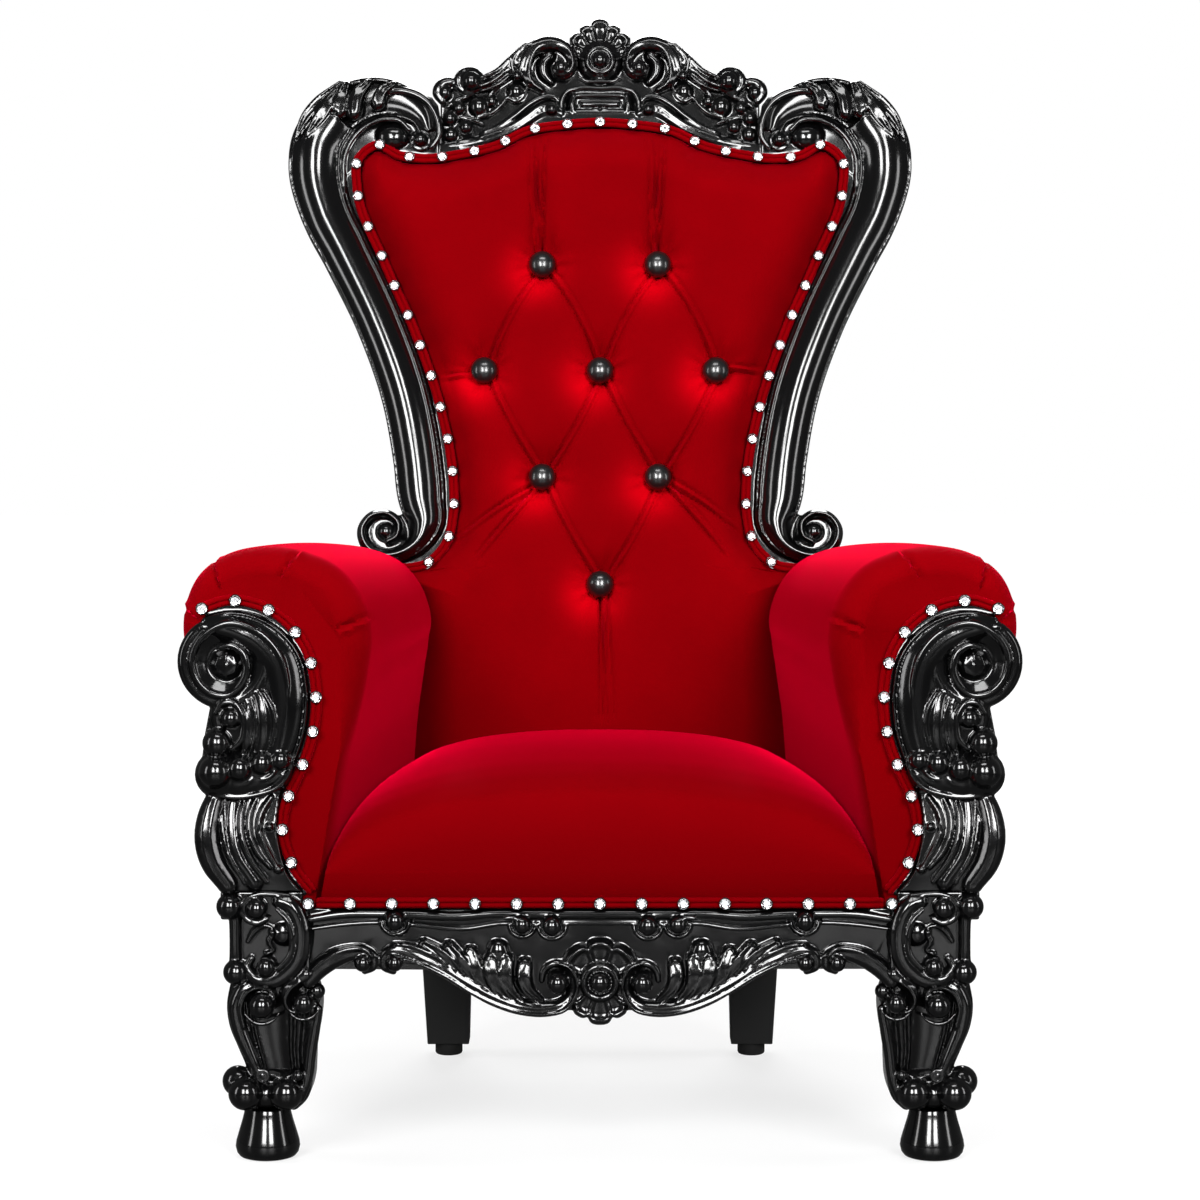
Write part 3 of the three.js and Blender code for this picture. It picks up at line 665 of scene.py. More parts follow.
def arm_post():
    """Scroll with a dished face and a faceted stud, a paw of balls under it and a fluted column."""
    form = Carving()
    form.band(beside(ARM_WELT, WELT_BED, WELT_BED), TAPE, ARM_FACE, ARM_FACE + 1.4, 70)
    form.turned(377, 511, [
        (0, ARM_FACE), (45, ARM_FACE), (47, -4), (45, 2), (40, 4.4), (33, 3), (22, -4.5), (19, -7), (0, -7),
    ])
    form.ring(377.5, 512.5, -2.5, 40, 7.4)
    form.band(
        [(400, 549, 8), (368, 546, 17), (343, 534, 21), (325, 513, 23.5), (318, 485, 23.5),
         (317.5, 457, 22.5), (321.5, 430, 20), (330, 403, 16)], FLANGE, ARM_FACE, 7, 60)
    form.rope(
        [(318, 440, 1.6), (314, 470, 2.2), (315, 500, 2.8), (323, 523, 3.2), (343, 543.5, 3.6),
         (373, 552, 3.8), (399, 538, 3.8), (409, 517, 3.8), (404.5, 496, 3.8), (391, 482, 3.8),
         (374, 479.5, 3.9), (361, 489, 4.2), (354, 506, 4.4), (358, 522, 4.2), (371, 530, 3.4),
         (384, 527, 2.4)], 5)
    bpy.ops.mesh.primitive_cone_add(vertices=8, radius1=17.4, radius2=11, depth=6,
                                    location=(375.5, 509.5, -4))
    form.keep(bpy.context.object)
    bpy.ops.mesh.primitive_cone_add(vertices=4, radius1=13, radius2=0, depth=5, location=(375.5, 509.5, 0.5))
    form.keep(bpy.context.object)
    form.plate([(318, 384), (396, 381), (403, 400), (398, 440), (392, 470), (378, 484), (340, 480),
                (318, 440)], ARM_FACE, -4)
    form.ropes([
        [(348, 487, 6, -1), (340, 472, 10, 1), (337, 451, 11, 2), (339, 432, 10, 1), (346, 420, 7, 0)],
        [(358, 482, 4.6, 0), (353, 468, 6.6, 2), (352, 448, 7, 3), (355, 430, 6, 2), (359, 420, 4, 0)],
    ], -2)
    form.ropes([
        [(337, 482, 1.2), (329, 466, 2), (327, 450, 2), (331, 430, 1.2)],
        [(350, 476, 1.2), (346, 458, 2), (346, 440, 2), (350, 426, 1.2)],
    ], 7)
    form.rope([(386, 462, 2.4), (380, 471, 3), (368, 472, 3.4), (360, 462, 3.6), (358, 448, 3.6),
               (361, 434, 3.4), (369, 426, 2.8)], 6)
    form.rope([(382, 474, 6), (385, 460, 7), (383, 446, 6)], -3)
    form.balls([
        (371, 456, 2, 10.4), (385, 431, 3, 14.8), (386.5, 402, 5, 17), (362.5, 405.5, 5, 13.2),
        (340, 411, 4, 12), (321, 414, 2, 10.4),
        (331, 402, -9, 22, 0.64), (346, 399, -9, 24, 0.7), (364, 398, -9, 26, 0.74), (384, 398, -8, 25, 0.8),
    ])
    form.arc(362.5, 406, 17, 195, 345, 2.2, 7)
    form.arc(362.5, 406, 22, 205, 335, 2.4, 4)
    form.arc(341, 411, 16.5, 195, 300, 2.2, 6)
    form.arc(341, 411, 21.5, 205, 290, 2.4, 3)
    form.arc(324, 413, 15.5, 170, 300, 2.2, 2)
    form.arc(385, 402, 21, 215, 330, 2.4, 3)
    form.rope([(309, 412, 2), (315, 397, 2.6), (327, 385, 3), (344, 379, 3), (364, 376, 3),
               (385, 378, 2.6)], 2)
    form.pillar(
        [(280.3, 343, 41, ARM_FACE, 7), (296, 355, 40, ARM_FACE, 9), (318, 362, 40, ARM_FACE, 10),
         (342, 366, 40, ARM_FACE, 8), (375, 360, 37, ARM_FACE, 0), (400, 353, 35, ARM_FACE, -5)], COLUMN, 44)
    form.rope([(386, 380, 9, -7), (393, 359, 12, -2), (396, 337, 13, 1), (390.5, 311, 13, 1),
               (375, 287, 11, -1)], 0)
    form.ropes([
        [(369, 380, 9, -10), (371, 352, 9.4, -4), (367, 322, 9.4, 0), (348, 290, 9.4, 0)],
        [(380, 378, 2, -6), (380, 347, 2.6, 4), (374.5, 320, 2.6, 7), (358, 290, 2.4, 7)],
        [(357, 378, 2.4, -6), (361.5, 357, 3.2, 2), (360.5, 337, 3.4, 6), (353, 316, 3.4, 7),
         (336, 291, 2.6, 6)],
        [(346, 376, 2, -5), (353, 358, 2.8, 1), (353, 341, 3, 4), (347, 324, 3, 5), (332, 305, 2, 5)],
        [(331, 376, 2, -4), (341, 360, 2.8, 1), (343.5, 345, 3, 3), (337, 325, 3, 4), (325, 304, 2.4, 4)],
    ], 0)
    form.balls([(324, 303, 4, 4), (333, 346, 1, 4)])
    return put(form.fuse(rear=ARM_FACE), FRONT)


def front_leg():
    """Square knee with a C-scroll between balls, and a leg that tapers to a pair of balls."""
    form = Carving()
    form.block((297, 172, -70), (373, 261.7, -5), 3)
    form.block((300, 250, -11), (384, 279.4, -5), 2)
    form.rope([(323, 270, 8), (313, 266, 9.6), (304, 252, 10), (301, 232, 10.2), (305, 212, 10),
               (317, 197, 9.6), (334, 189, 8.4), (349, 192, 6.6), (356, 203, 5), (352, 212, 4)], 1)
    form.rope([(326, 263, 1.6), (315.5, 252, 2.8), (310.5, 234, 3.2), (313.5, 215, 3.2),
               (324, 203, 2.6)], 8.5)
    form.rope([(313, 276, 2.4), (328, 277.4, 3), (346, 277.2, 3), (358, 272, 3), (361.5, 262, 3),
               (357, 252, 3), (346, 248, 2.8), (335, 253, 2.4)], 3)
    form.rope([(369, 254, 6), (369, 230, 5.6), (369, 206, 6)], -1)
    form.ropes([[(331, 243, 1.6), (339, 245, 2.4), (348, 240, 2.6), (356, 228, 1.6)],
                [(330, 236, 2), (334, 228, 2.6), (330, 220, 2), (338, 216, 2)]], -1)
    form.balls([
        (374, 265, 1, 13.4), (346.5, 263, 3, 11.2), (337, 204, 6, 10), (368, 198, 1, 13),
        (320, 236, -6, 12, 0.5), (331, 238, -1, 3.4),
    ])
    form.pillar(
        [(51.5, 333, 23, -63, -17), (60, 331, 30, -66, -13), (80, 327, 34, -68, -10), (95, 326, 34, -70, -8),
         (115, 329, 38, -70, -6), (140, 331.5, 45, -70, -4), (162, 332, 47, -70, -3),
         (186, 333, 42, -70, -5)], LEG, 44)
    form.rope([(330, 172, 2.4), (333, 180, 3.4), (344, 184.5, 5), (359, 181, 7), (368, 166, 8),
               (366, 142, 8), (358, 120, 7), (351, 104, 5.4), (347, 94, 4)], -4)
    form.rope([(329, 168, 1.6), (332, 178, 1.9), (343, 182.5, 2), (357, 177, 2), (363, 163, 2),
               (360, 142, 1.8)], 4)
    form.rope([(297, 195, 8), (309, 187, 7.4), (317.5, 175, 6), (316, 163, 4.4), (308, 157, 3)], -1)
    form.rope([(303, 189, 1.6), (314, 180, 2), (318, 168, 2), (311, 158, 1.8), (304, 158, 1.4)], 6)
    form.rope([(286, 158, 5), (290, 136, 6), (294, 112, 6), (297, 88, 5.6), (304, 66, 4)], -10)
    form.arc(342, 164, 19, 205, 335, 2.4, 2)
    form.arc(300, 166.5, 17, 205, 330, 2.4, 2)
    form.rope([(311, 92, 1.6), (322, 88, 2), (334, 92, 1.6)], -5)
    form.balls([
        (342, 164, 4, 13.6), (299.5, 166.5, 4, 10.6), (287, 177, -8, 8.6),
        (319, 71.5, -9, 17.4), (360.5, 71.5, -9, 17.4), (369, 82, -20, 16), (306, 91, -4, 5.6),
        (342, 91, -5, 6), (340, 68, -22, 15),
    ])
    form.ring(342, 91, -1, 6, 1.6)
    return put(form.fuse(), FRONT)


def front_rail():
    """Apron: a waved plate with a boss between two shells, volutes and acanthus, and a moulded top edge."""
    form = Carving()
    lower = smooth_line([(295.4, 188), (282, 193), (268, 200), (250, 206), (226, 206), (193, 204),
                         (160, 197), (131, 181), (104, 166), (77, 157), (50, 155), (26, 157),
                         (-0.2, 156)], 60)
    form.plate([(295.4, 261.7), *map(tuple, lower), (-0.2, 261.7)], -28, -9)
    form.rope([(294, 251, 4.4), (262, 256, 5), (230, 257, 5), (190, 256, 5), (145, 254, 5), (110, 256.5, 5),
               (60, 256.5, 5), (-1, 256.5, 5)], -3)
    form.rope([(294, 241, 2), (255, 246, 2.6), (226, 247.5, 2.6), (185, 245, 2.6), (140, 241, 2.6),
               (100, 246.5, 2.6), (60, 247, 2.6), (-1, 247, 2.6)], -4)
    for u, v, radius in ((48.5, 245.5, 10.6), (78.5, 246.5, 9.4), (207, 250.5, 10.6)):
        form.ball(u, v, 3, radius)
        form.ball(u, v - 1, -8, radius + 5, 0.6)
        form.arc(u, v, radius + 4, 180, 360, 1.8, -1)
    form.rope([(96, 254, 2.4), (86, 254, 2.6), (79, 249, 2.4)], 7)
    form.rope([(295, 188, 8), (283, 201, 9.4), (267, 212, 10), (252, 217, 8.6), (239, 219, 6.6),
               (228.5, 213, 5), (229, 203, 4.2), (238, 198.5, 3.6)], -2)
    form.rope([(290, 201, 1.6), (278, 211, 2.2), (264, 219, 2.4), (250, 222.5, 2.4), (238, 222, 2.2),
               (230, 215, 1.8)], 6)
    form.ball(239.5, 207.5, 3, 9)
    form.rope([(209, 198, 3.6), (219, 203, 4.2), (219, 213, 5), (208, 220, 6), (194, 217.5, 7),
               (176, 209, 7.4), (156, 199, 8), (131, 184, 8.6), (104, 169.5, 8.8), (78, 161, 8.4),
               (55, 159.5, 8), (38, 164, 7), (28, 176, 5.6), (27, 191, 5), (34, 203, 4.8), (47, 206, 4.4),
               (57, 199, 4), (59, 189, 3.4)], -3)
    form.ball(207.5, 207.5, 3, 8.8)
    form.ball(43, 187, 4, 10.8)
    form.rope([(202, 213, 1.4), (178, 205, 2), (156, 194, 2.2), (131, 178, 2.2), (104, 164.5, 2.4),
               (78, 156.5, 2.4), (54, 155, 2.4), (35, 160, 2.2), (24.5, 174, 2), (23.5, 190, 1.8),
               (31, 203, 1.6), (45, 208, 1.4)], 4.5)
    form.leaves([
        [(60, 168, 4, -1), (73, 180, 7, 0), (77, 194, 8.4, 0), (76, 205, 7.4, -2)],
        [(80, 167, 4, -1), (92, 181, 7.4, 1), (96, 196, 9, 1), (94, 210, 7.4, -1)],
        [(87, 166, 4, -1), (103, 181, 7.4, 1), (110, 197, 9, 2), (111, 210, 7.6, 0)],
        [(101, 171, 4, -1), (117, 186, 7.4, 0), (126, 202, 9, 0), (131, 217, 7.4, -2)],
        [(116, 181, 4, -1), (132, 197, 7.4, 0), (144, 212, 8, 0), (153, 223, 6.4, -2)],
        [(132, 190, 4, -1), (148, 205, 7, 0), (164, 218, 7.6, 0), (178, 226, 5.6, -2)],
        [(150, 199, 4, -1), (172, 212, 6.6, 0), (192, 221, 6.6, 0), (207, 224, 4.6, -1)],
    ], -3, 0.85, 2.4, 0.6, 0.13, 0.8)
    form.ball(103, 217, -7, 13, 0.6, 0.85)
    form.shell(0, 188, [(-6, 22, 36), (22, 70, 43), (70, 110, 43), (110, 158, 43), (158, 186, 36)],
               14, -3, -12)
    form.shell(0, 188, [(196, 225, 38), (225, 252, 43), (252, 288, 45.6), (288, 315, 43), (315, 344, 38)],
               14, -2, -12)
    form.turned(0, 188, [(0, -9), (20, -9), (20, 0), (17, 3), (0, 3)])
    form.ring(0, 188, 4, 16.2, 3.4)
    form.ball(0, 188, 3, 10.8)
    return put(form.fuse(mirror=True, rear=-28), FRONT)


POST_COURSE = [
    (248, 143, 4), (236, 150, 4.5), (234, 166, 5), (247, 177, 5), (265, 175, 5.5), (277, 158, 6),
    (272, 140, 6.5), (252, 128, 7), (230, 131, 9), (212, 143, 13), (203, 165, 21), (208, 195, 27),
    (213, 240, 28), (227, 314, 28), (258, 402, 28), (300, 490, 29), (322, 535, 30.5), (333, 590, 33),
    (330, 615, 33), (312, 645, 31), (286, 663, 28), (260, 669, 25), (232, 664, 20), (209, 647, 14),
    (203, 630, 10),
]
EAR = 14  # points of the back's welt that run along a post, from the arm to beyond the ear


def back_post():
    """Post that springs from a small scroll on the arm, swells and rolls over in acanthus at the top."""
    form = Carving()
    form.band(POST_COURSE[:20], POST, POST_REAR, 24, 210)
    form.band(POST_COURSE[17:], COIL, POST_REAR, 16, 80)
    form.band(beside(BACK_WELT[:EAR], -WELT_BED - 1, WELT_BED + 1), TAPE, -26, 1, 120)
    form.plate([(302, 575), (301, 600), (290, 622), (275, 637), (253, 646), (234, 648), (230, 672),
                (212, 676), (198, 672), (190.5, 662), (190.5, 604), (203, 603), (237, 607), (262, 619),
                (284, 607), (290, 585)], -38, 2)
    form.ball(244, 625, -3, 17, 0.9, 1.3)
    form.turned(252, 152, [(0, POST_REAR), (26, POST_REAR), (26, 4), (22, 7), (0, 7)])
    form.turned(228, 158, [(0, POST_REAR), (20, POST_REAR), (20, 0), (0, 0)])
    form.ball(249, 156, 11, 11)
    form.ball(211, 619, 12, 8)
    form.ring(211, 619, 8, 11, 2.4)
    form.leaves([
        [(304, 685, 4, -3), (331, 661, 8, 0), (346, 642, 7, 0), (357, 618, 1.6, -2)],
        [(308, 676, 4, -1), (319, 658, 9, 1), (330, 641, 8, 1), (344, 621, 1.6, 0)],
        [(298, 683, 5, -2), (303, 668, 9, 0), (306, 651, 9, 1)],
        [(272, 686, 5, -2), (285, 670, 10, 0), (289, 650, 10, 1)],
        [(243, 684, 4, -2), (256, 675, 8, 0), (261, 661, 9, 0)],
    ], 17, 0.9, 23, 0.55, 0.12, 0.9)
    form.rope([(264, 662, 3), (257, 671, 4.4), (242, 676.5, 5), (225, 675, 5), (204, 664, 4.8),
               (191, 643, 4.6), (190, 621, 4), (198, 609, 3)], 15)
    form.rope([(300, 555, 2), (301, 577, 2.6), (300.5, 595, 3), (294, 614, 3.2), (278, 633, 3.4),
               (255, 643, 3.4), (236, 642, 3), (224, 631, 2.4)], 12)
    return put(form.fuse(rear=POST_REAR), BACK)


def crest_rail():
    """Crest: a plate under a shell, with a boss, volutes, S-ribs that end in balls, and a tablet."""
    form = Carving()
    upper = smooth_line([(-0.2, 746), (22, 740), (36, 736), (53, 742), (69, 742), (88, 732), (109, 715),
                         (131, 699), (152, 697), (172, 688), (188.6, 676)], 44)
    lower = smooth_line([(188.6, 640), (188.6, 612), (163, 612), (118, 624), (83, 642), (44, 648),
                         (-0.2, 651)], 40)
    form.plate([*map(tuple, upper), *map(tuple, lower)], -40, -9)
    form.band(beside(BACK_WELT[EAR - 1:], -WELT_BED - 1, WELT_BED + 1), TAPE, -26, 1, 60)
    form.rope([(60, 736, 9, 0), (80, 731, 11, 0), (97, 717, 11.4, 0), (114, 702, 10.6, 0), (130, 691, 9, -1),
               (146, 686, 7, -2)], -4)
    form.rope([(68, 681, 4.4), (82, 691, 6.8), (88, 708, 8), (82, 726, 9), (63, 737, 9), (46, 734, 8.4),
               (35, 722, 7.4), (33, 708, 6.6), (41, 698, 5.8), (51, 699, 5), (55, 708, 4)], -1)
    form.rope([(58, 692, 4), (66, 702, 6.4), (67, 714, 7), (59, 723, 6)], -7)
    form.ropes([
        [(68, 680, 1.6), (80.5, 690, 2.6), (83, 711, 2.8), (75, 729, 2.8), (60, 738, 2.8), (46, 735.5, 2.8),
         (35, 726, 2.8), (32, 712.5, 2.8), (37.5, 701.5, 2.8), (46, 698, 2.6), (54, 703, 2.4),
         (52, 713, 1.8)],
        [(58, 741, 2), (78, 734, 2.8), (90, 718, 2.8), (95, 700, 2)],
        [(80, 737, 2), (97, 726, 2.8), (104, 712, 2.8), (100, 698, 2)],
        [(88, 735, 2), (106, 718, 2.8), (121, 704, 2.8), (140, 695, 2)],
        [(106, 709, 1.8), (117, 698, 2.6), (130, 689, 2.6), (143, 684, 1.8)],
        [(107, 697, 1.6), (118, 688, 2.2), (130, 682, 2), (140, 679, 1.4)],
    ], 5)
    form.rope([(138, 697, 3), (149, 704, 4.4), (162, 702, 5), (168, 691, 5), (163, 681, 4.4),
               (152, 678, 3.6), (143, 682, 3)], 0)
    form.ropes([
        [(116, 689, 2.4), (124, 681.5, 3.6), (133, 673, 2.4)],
        [(110, 672, 2), (119, 661, 3), (131, 652.5, 3), (146, 648, 2.2)],
        [(86, 685, 2), (90, 674, 3), (100, 668, 3.2), (110, 673, 2.2)],
        [(150, 676, 2.2), (160, 672, 3), (172, 668, 3), (180, 660, 2.2)],
        [(168, 686, 4), (177, 691, 5.6), (188, 687, 6.4), (192, 677, 6), (186, 668, 5)],
        [(138, 641, 2), (150, 646, 3), (165, 648, 3), (178, 642, 2.2)],
    ], -1)
    form.balls([
        (46, 707, 4, 8.6), (152, 691, 3, 12), (99, 680, -4, 11, 0.8), (98, 697, 4, 5.4), (183, 678, -2, 9),
        (143, 662, -3, 12, 0.8), (166, 659, 1, 8), (158, 636, 1, 8.6), (177, 647, -1, 9),
        (176, 628, -2, 9, 0.8), (128, 668, -3, 7),
    ])
    form.block((-38, 653, -14), (38, 682, -3), 3)
    form.ropes([
        [(-1, 683, 3), (28, 683, 3), (40, 678.5, 3.4), (45.5, 668, 3.4), (44, 653, 3)],
        [(-1, 674.5, 2.6), (26, 674.5, 2.6)],
        [(-1, 664, 3.2), (20, 664, 3.2)],
        [(-1, 654, 2.6), (27, 654, 2.6)],
        [(31, 674, 3.2), (33, 664, 3.6), (31, 655, 3.2)],
        [(-1, 691.5, 2.4), (16, 692, 2.4), (25, 697, 2)],
    ], -1)
    form.rope([(50, 664, 2.8), (50, 670, 3.4), (57, 674, 3.8), (67, 673, 4), (82, 665.5, 4.2),
               (99, 652, 4.2), (119, 638, 4), (140, 629, 3)], -2)
    form.rope([(46, 653, 6), (58, 657, 7.4), (71, 654, 7.6), (85, 645, 7.6), (102, 634, 7.6), (120, 626, 7),
               (139, 620, 6), (160, 616, 5), (184, 613, 4)], -3)
    form.rope([(58, 662, 1.8), (72, 659.5, 2.4), (85, 650, 2.4), (102, 638.5, 2.4), (120, 630, 2.2),
               (140, 623.5, 1.8)], 3)
    form.ball(57, 657, 3, 6.6)
    form.shell(0, 717, [(8, 32, 40), (32, 56, 46), (56, 76, 48), (76, 104, 52), (104, 124, 48),
                        (124, 148, 46), (148, 172, 40)], 14, -4, -24)
    form.turned(0, 716.5, [(0, -9), (25, -9), (25, -4), (20, 0), (0, 0)])
    form.ring(0, 716.5, 1.5, 15, 3.2)
    form.ball(0, 716.5, 1.5, 10.6)
    return put(form.fuse(mirror=True, rear=-40), BACK)


class THRONE_OT_arm_posts(bpy.types.Operator):
    """Carves the arm posts"""

    bl_idname = "throne.arm_posts"
    bl_label = "Arm posts"

    def execute(self, context):
        dress_pair(arm_post(), "arm_post_carved", "black_lacquer", "lacquer", "arm_post")
        return {"FINISHED"}


class THRONE_OT_front_legs(bpy.types.Operator):
    """Carves the front legs and their knees"""

    bl_idname = "throne.front_legs"
    bl_label = "Front legs"

    def execute(self, context):
        dress_pair(front_leg(), "front_leg_carved", "black_lacquer", "lacquer", "front_leg")
        return {"FINISHED"}


class THRONE_OT_front_rail(bpy.types.Operator):
    """Carves the apron under the seat"""

    bl_idname = "throne.front_rail"
    bl_label = "Front rail"

    def execute(self, context):
        dress(front_rail(), "front_rail_carved", "black_lacquer", "lacquer", "front_rail")
        return {"FINISHED"}


class THRONE_OT_back_posts(bpy.types.Operator):
    """Carves the posts of the back"""

    bl_idname = "throne.back_posts"
    bl_label = "Back posts"

    def execute(self, context):
        dress_pair(back_post(), "back_post_carved", "black_lacquer", "lacquer", "back_post")
        return {"FINISHED"}


class THRONE_OT_crest_rail(bpy.types.Operator):
    """Carves the crest over the back"""

    bl_idname = "throne.crest_rail"
    bl_label = "Crest rail"

    def execute(self, context):
        dress(crest_rail(), "crest_rail_carved", "black_lacquer", "lacquer", "crest_rail")
        return {"FINISHED"}


# Turned feet and plain wood

# Sizes of the back legs and the plain rails, in metres
LEG_TAPER = 0.76  # foot of a back leg as a share of its top
LEG_LEAN = 0.003  # how far its foot stands inwards
LEG_CHAMFER = 0.011
LEG_EASED = 0.0012
RAIL_MARGIN = 0.011  # flat border round a rail's sunk panel
RAIL_BEAD = 0.003
RAIL_SUNK = 0.002
RAIL_EASED = 0.0015


class THRONE_OT_feet(bpy.types.Operator):
    """Turns the front feet and the glides of the back legs"""

    bl_idname = "throne.feet"
    bl_label = "Feet and glides"

    def execute(self, context):
        low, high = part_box("front_foot_right")
        centre = (low + high) / 2 / MM
        top = high.z / MM
        foot = spun([(0, 0), (25, 0), (28.5, 1.2), (31.5, 5), (33, 11), (32.2, 17), (29, 28), (26, 38),
                     (24, 46), (23.4, top), (0, top)], (centre.x, centre.y, 0), 64)
        apply_modifier(foot, "BEVEL", width=0.8, segments=2)
        shade(foot, 40)
        dress_pair(put(foot, WORLD), "front_foot_turned", "black_lacquer", "satin_black", "front_foot")
        low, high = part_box("back_glide_right")
        centre = (low + high) / 2 / MM
        top = high.z / MM
        glide = spun([(0, 0), (13.5, 0), (15, 0.8), (16, 2.5), (16, top), (0, top)],
                     (centre.x, centre.y, 0), 40)
        shade(glide, 40)
        dress_pair(put(glide, WORLD), "back_glide_turned", "rubber", "rubber", "back_glide")
        return {"FINISHED"}


class THRONE_OT_back_legs(bpy.types.Operator):
    """Shapes the square back legs, tapered and chamfered"""

    bl_idname = "throne.back_legs"
    bl_label = "Back legs"

    def execute(self, context):
        low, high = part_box("back_leg_right")
        bpy.ops.mesh.primitive_cube_add(size=1, location=(low + high) / 2, scale=high - low)
        leg = bpy.context.object
        bpy.ops.object.transform_apply(location=True, rotation=True, scale=True)
        edit(leg)
        bpy.ops.mesh.select_all(action="DESELECT")
        bm = bmesh.from_edit_mesh(leg.data)
        for vert in bm.verts:
            vert.select = vert.co.z < (low.z + high.z) / 2
        bm.select_flush_mode()
        bmesh.update_edit_mesh(leg.data)
        bpy.ops.transform.resize(value=(LEG_TAPER, LEG_TAPER, 1))
        bpy.ops.transform.translate(value=(-LEG_LEAN, 0, 0))
        bpy.ops.mesh.select_all(action="DESELECT")
        bm = bmesh.from_edit_mesh(leg.data)
        for edge in bm.edges:
            first, second = edge.verts
            edge.select = abs(first.co.z - second.co.z) > 0.1
        bmesh.update_edit_mesh(leg.data)
        bpy.ops.mesh.bevel(offset=LEG_CHAMFER, segments=1)
        leave()
        apply_modifier(leg, "BEVEL", width=LEG_EASED, segments=3, limit_method="ANGLE")
        shade(leg, 30)
        dress_pair(leg, "back_leg_shaped", "satin_black", "satin_black", "back_leg")
        return {"FINISHED"}


class THRONE_OT_plain_rails(bpy.types.Operator):
    """Eases the edges of the plain rails and gives them a bead"""

    bl_idname = "throne.plain_rails"
    bl_label = "Plain rails"

    def execute(self, context):
        for node in ("side_rail_right", "side_rail_left", "back_rail"):
            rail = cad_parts[node].copy()
            rail.data = rail.data.copy()
            rail.parent = None
            bpy.context.scene.collection.objects.link(rail)
            for key in list(rail.keys()):
                del rail[key]
            edit(rail)
            bpy.ops.mesh.remove_doubles(threshold=1e-5)
            bpy.ops.mesh.dissolve_limited(angle_limit=math.radians(2))
            bpy.ops.mesh.select_all(action="DESELECT")
            bm = bmesh.from_edit_mesh(rail.data)
            for face in bm.faces:
                face.select = abs(face.normal.z) < 0.2 and face.calc_area() > 0.01
            bmesh.update_edit_mesh(rail.data)
            bpy.ops.mesh.inset(thickness=RAIL_MARGIN, depth=0)
            bpy.ops.mesh.inset(thickness=RAIL_BEAD, depth=-RAIL_SUNK)
            leave()
            apply_modifier(rail, "BEVEL", width=RAIL_EASED, segments=3, limit_method="ANGLE")
            shade(rail, 30)
            dress(rail, f"{node}_moulded", "satin_black", "satin_black", node)
        return {"FINISHED"}


# Upholstery

BACK_NAILS = 45
CUSHION_HALF = 216  # half width between the arms
CUSHION_BOTTOM = -192.4
CUSHION_INSET = 6
CUSHION_REAR = -28
CUSHION_EDGE = 4
CUSHION_CROWN = 38
CUSHION_ROLL = 52  # how far from its edge the cushion reaches its crown
CUSHION_CALM = 12  # how far from its edge the buttoning starts
# The cushion swells under the end of the welt, then follows the welt from the free height up
CUSHION_WAIST = [
    (CUSHION_HALF, 66), (CUSHION_HALF, 78), (233, 91), (238, 102), (233, 108.4), (215, 111.6),
    (200.7, 114.4), (188.5, 125.8), (176.8, 137.4),
]
CUSHION_FREE = 150
FIRST_HALF = 190  # half width that the search for the outline starts from
NAIL_DENT = 7
NAIL_DENT_REACH = 17


def cushion_edges(inset):
    """The cushion's side as u over v, and its top as v over u, for the +X side."""
    line = smooth_line(BACK_WELT, 240)
    inside = line + normals_of(line) * inset
    corner = int(np.argmax(inside[:, 0] + inside[:, 1]))
    side = inside[: corner + 1]
    side = side[side[:, 1] > CUSHION_FREE]
    waist = smooth_line([*CUSHION_WAIST, side[0]], 60)
    waist[:, 1] = np.maximum.accumulate(waist[:, 1])
    side = np.vstack([(CUSHION_HALF, CUSHION_BOTTOM), waist, side[1:]])
    top = inside[corner:][::-1]
    return side, top


def cushion_field(inset, columns, rows):
    """A grid of places in the back's outline, with few rows low down, and how far each is from the edge."""
    side, top = cushion_edges(inset)
    s = np.linspace(-1, 1, columns)[None, :].repeat(rows, 0)
    t = np.interp(np.linspace(0, 1, rows), (0, 0.04, 1), (0, 0.15, 1))[:, None].repeat(columns, 1)
    u = s * FIRST_HALF
    for _ in range(12):
        ceiling = np.interp(np.abs(u), top[:, 0], top[:, 1])
        v = CUSHION_BOTTOM + t * (ceiling - CUSHION_BOTTOM)
        u = s * np.interp(v, side[:, 1], side[:, 0])
    across_side = distance_to(np.abs(u), v, side)
    across_top = distance_to(np.abs(u), v, top)
    return u, v, (np.maximum(across_side, 0.01) ** -3 + np.maximum(across_top, 0.01) ** -3) ** (-1 / 3)


def distance_to(u, v, line):
    """Distance from each place to a line of points."""
    best = np.full(u.shape, 1e9)
    for (au, av), (bu, bv) in zip(line[:-1], line[1:]):
        du = bu - au
        dv = bv - av
        share = np.clip(((u - au) * du + (v - av) * dv) / (du * du + dv * dv + 1e-9), 0, 1)
        best = np.minimum(best, np.hypot(u - au - share * du, v - av - share * dv))
    return best


def folds():
    """Pairs of buttons that a pleat joins, from the top down: each with its neighbours in the row below."""
    downwards = sorted(BUTTONS, key=lambda place: (-place[1], place[0]))
    pairs = []
    for upper in downwards:
        for lower in downwards:
            if abs(upper[0] - lower[0]) == BUTTON_STEP_U and upper[1] - lower[1] == BUTTON_STEP_V:
                pairs.append((upper, lower))
    return pairs


FOLDS = folds()
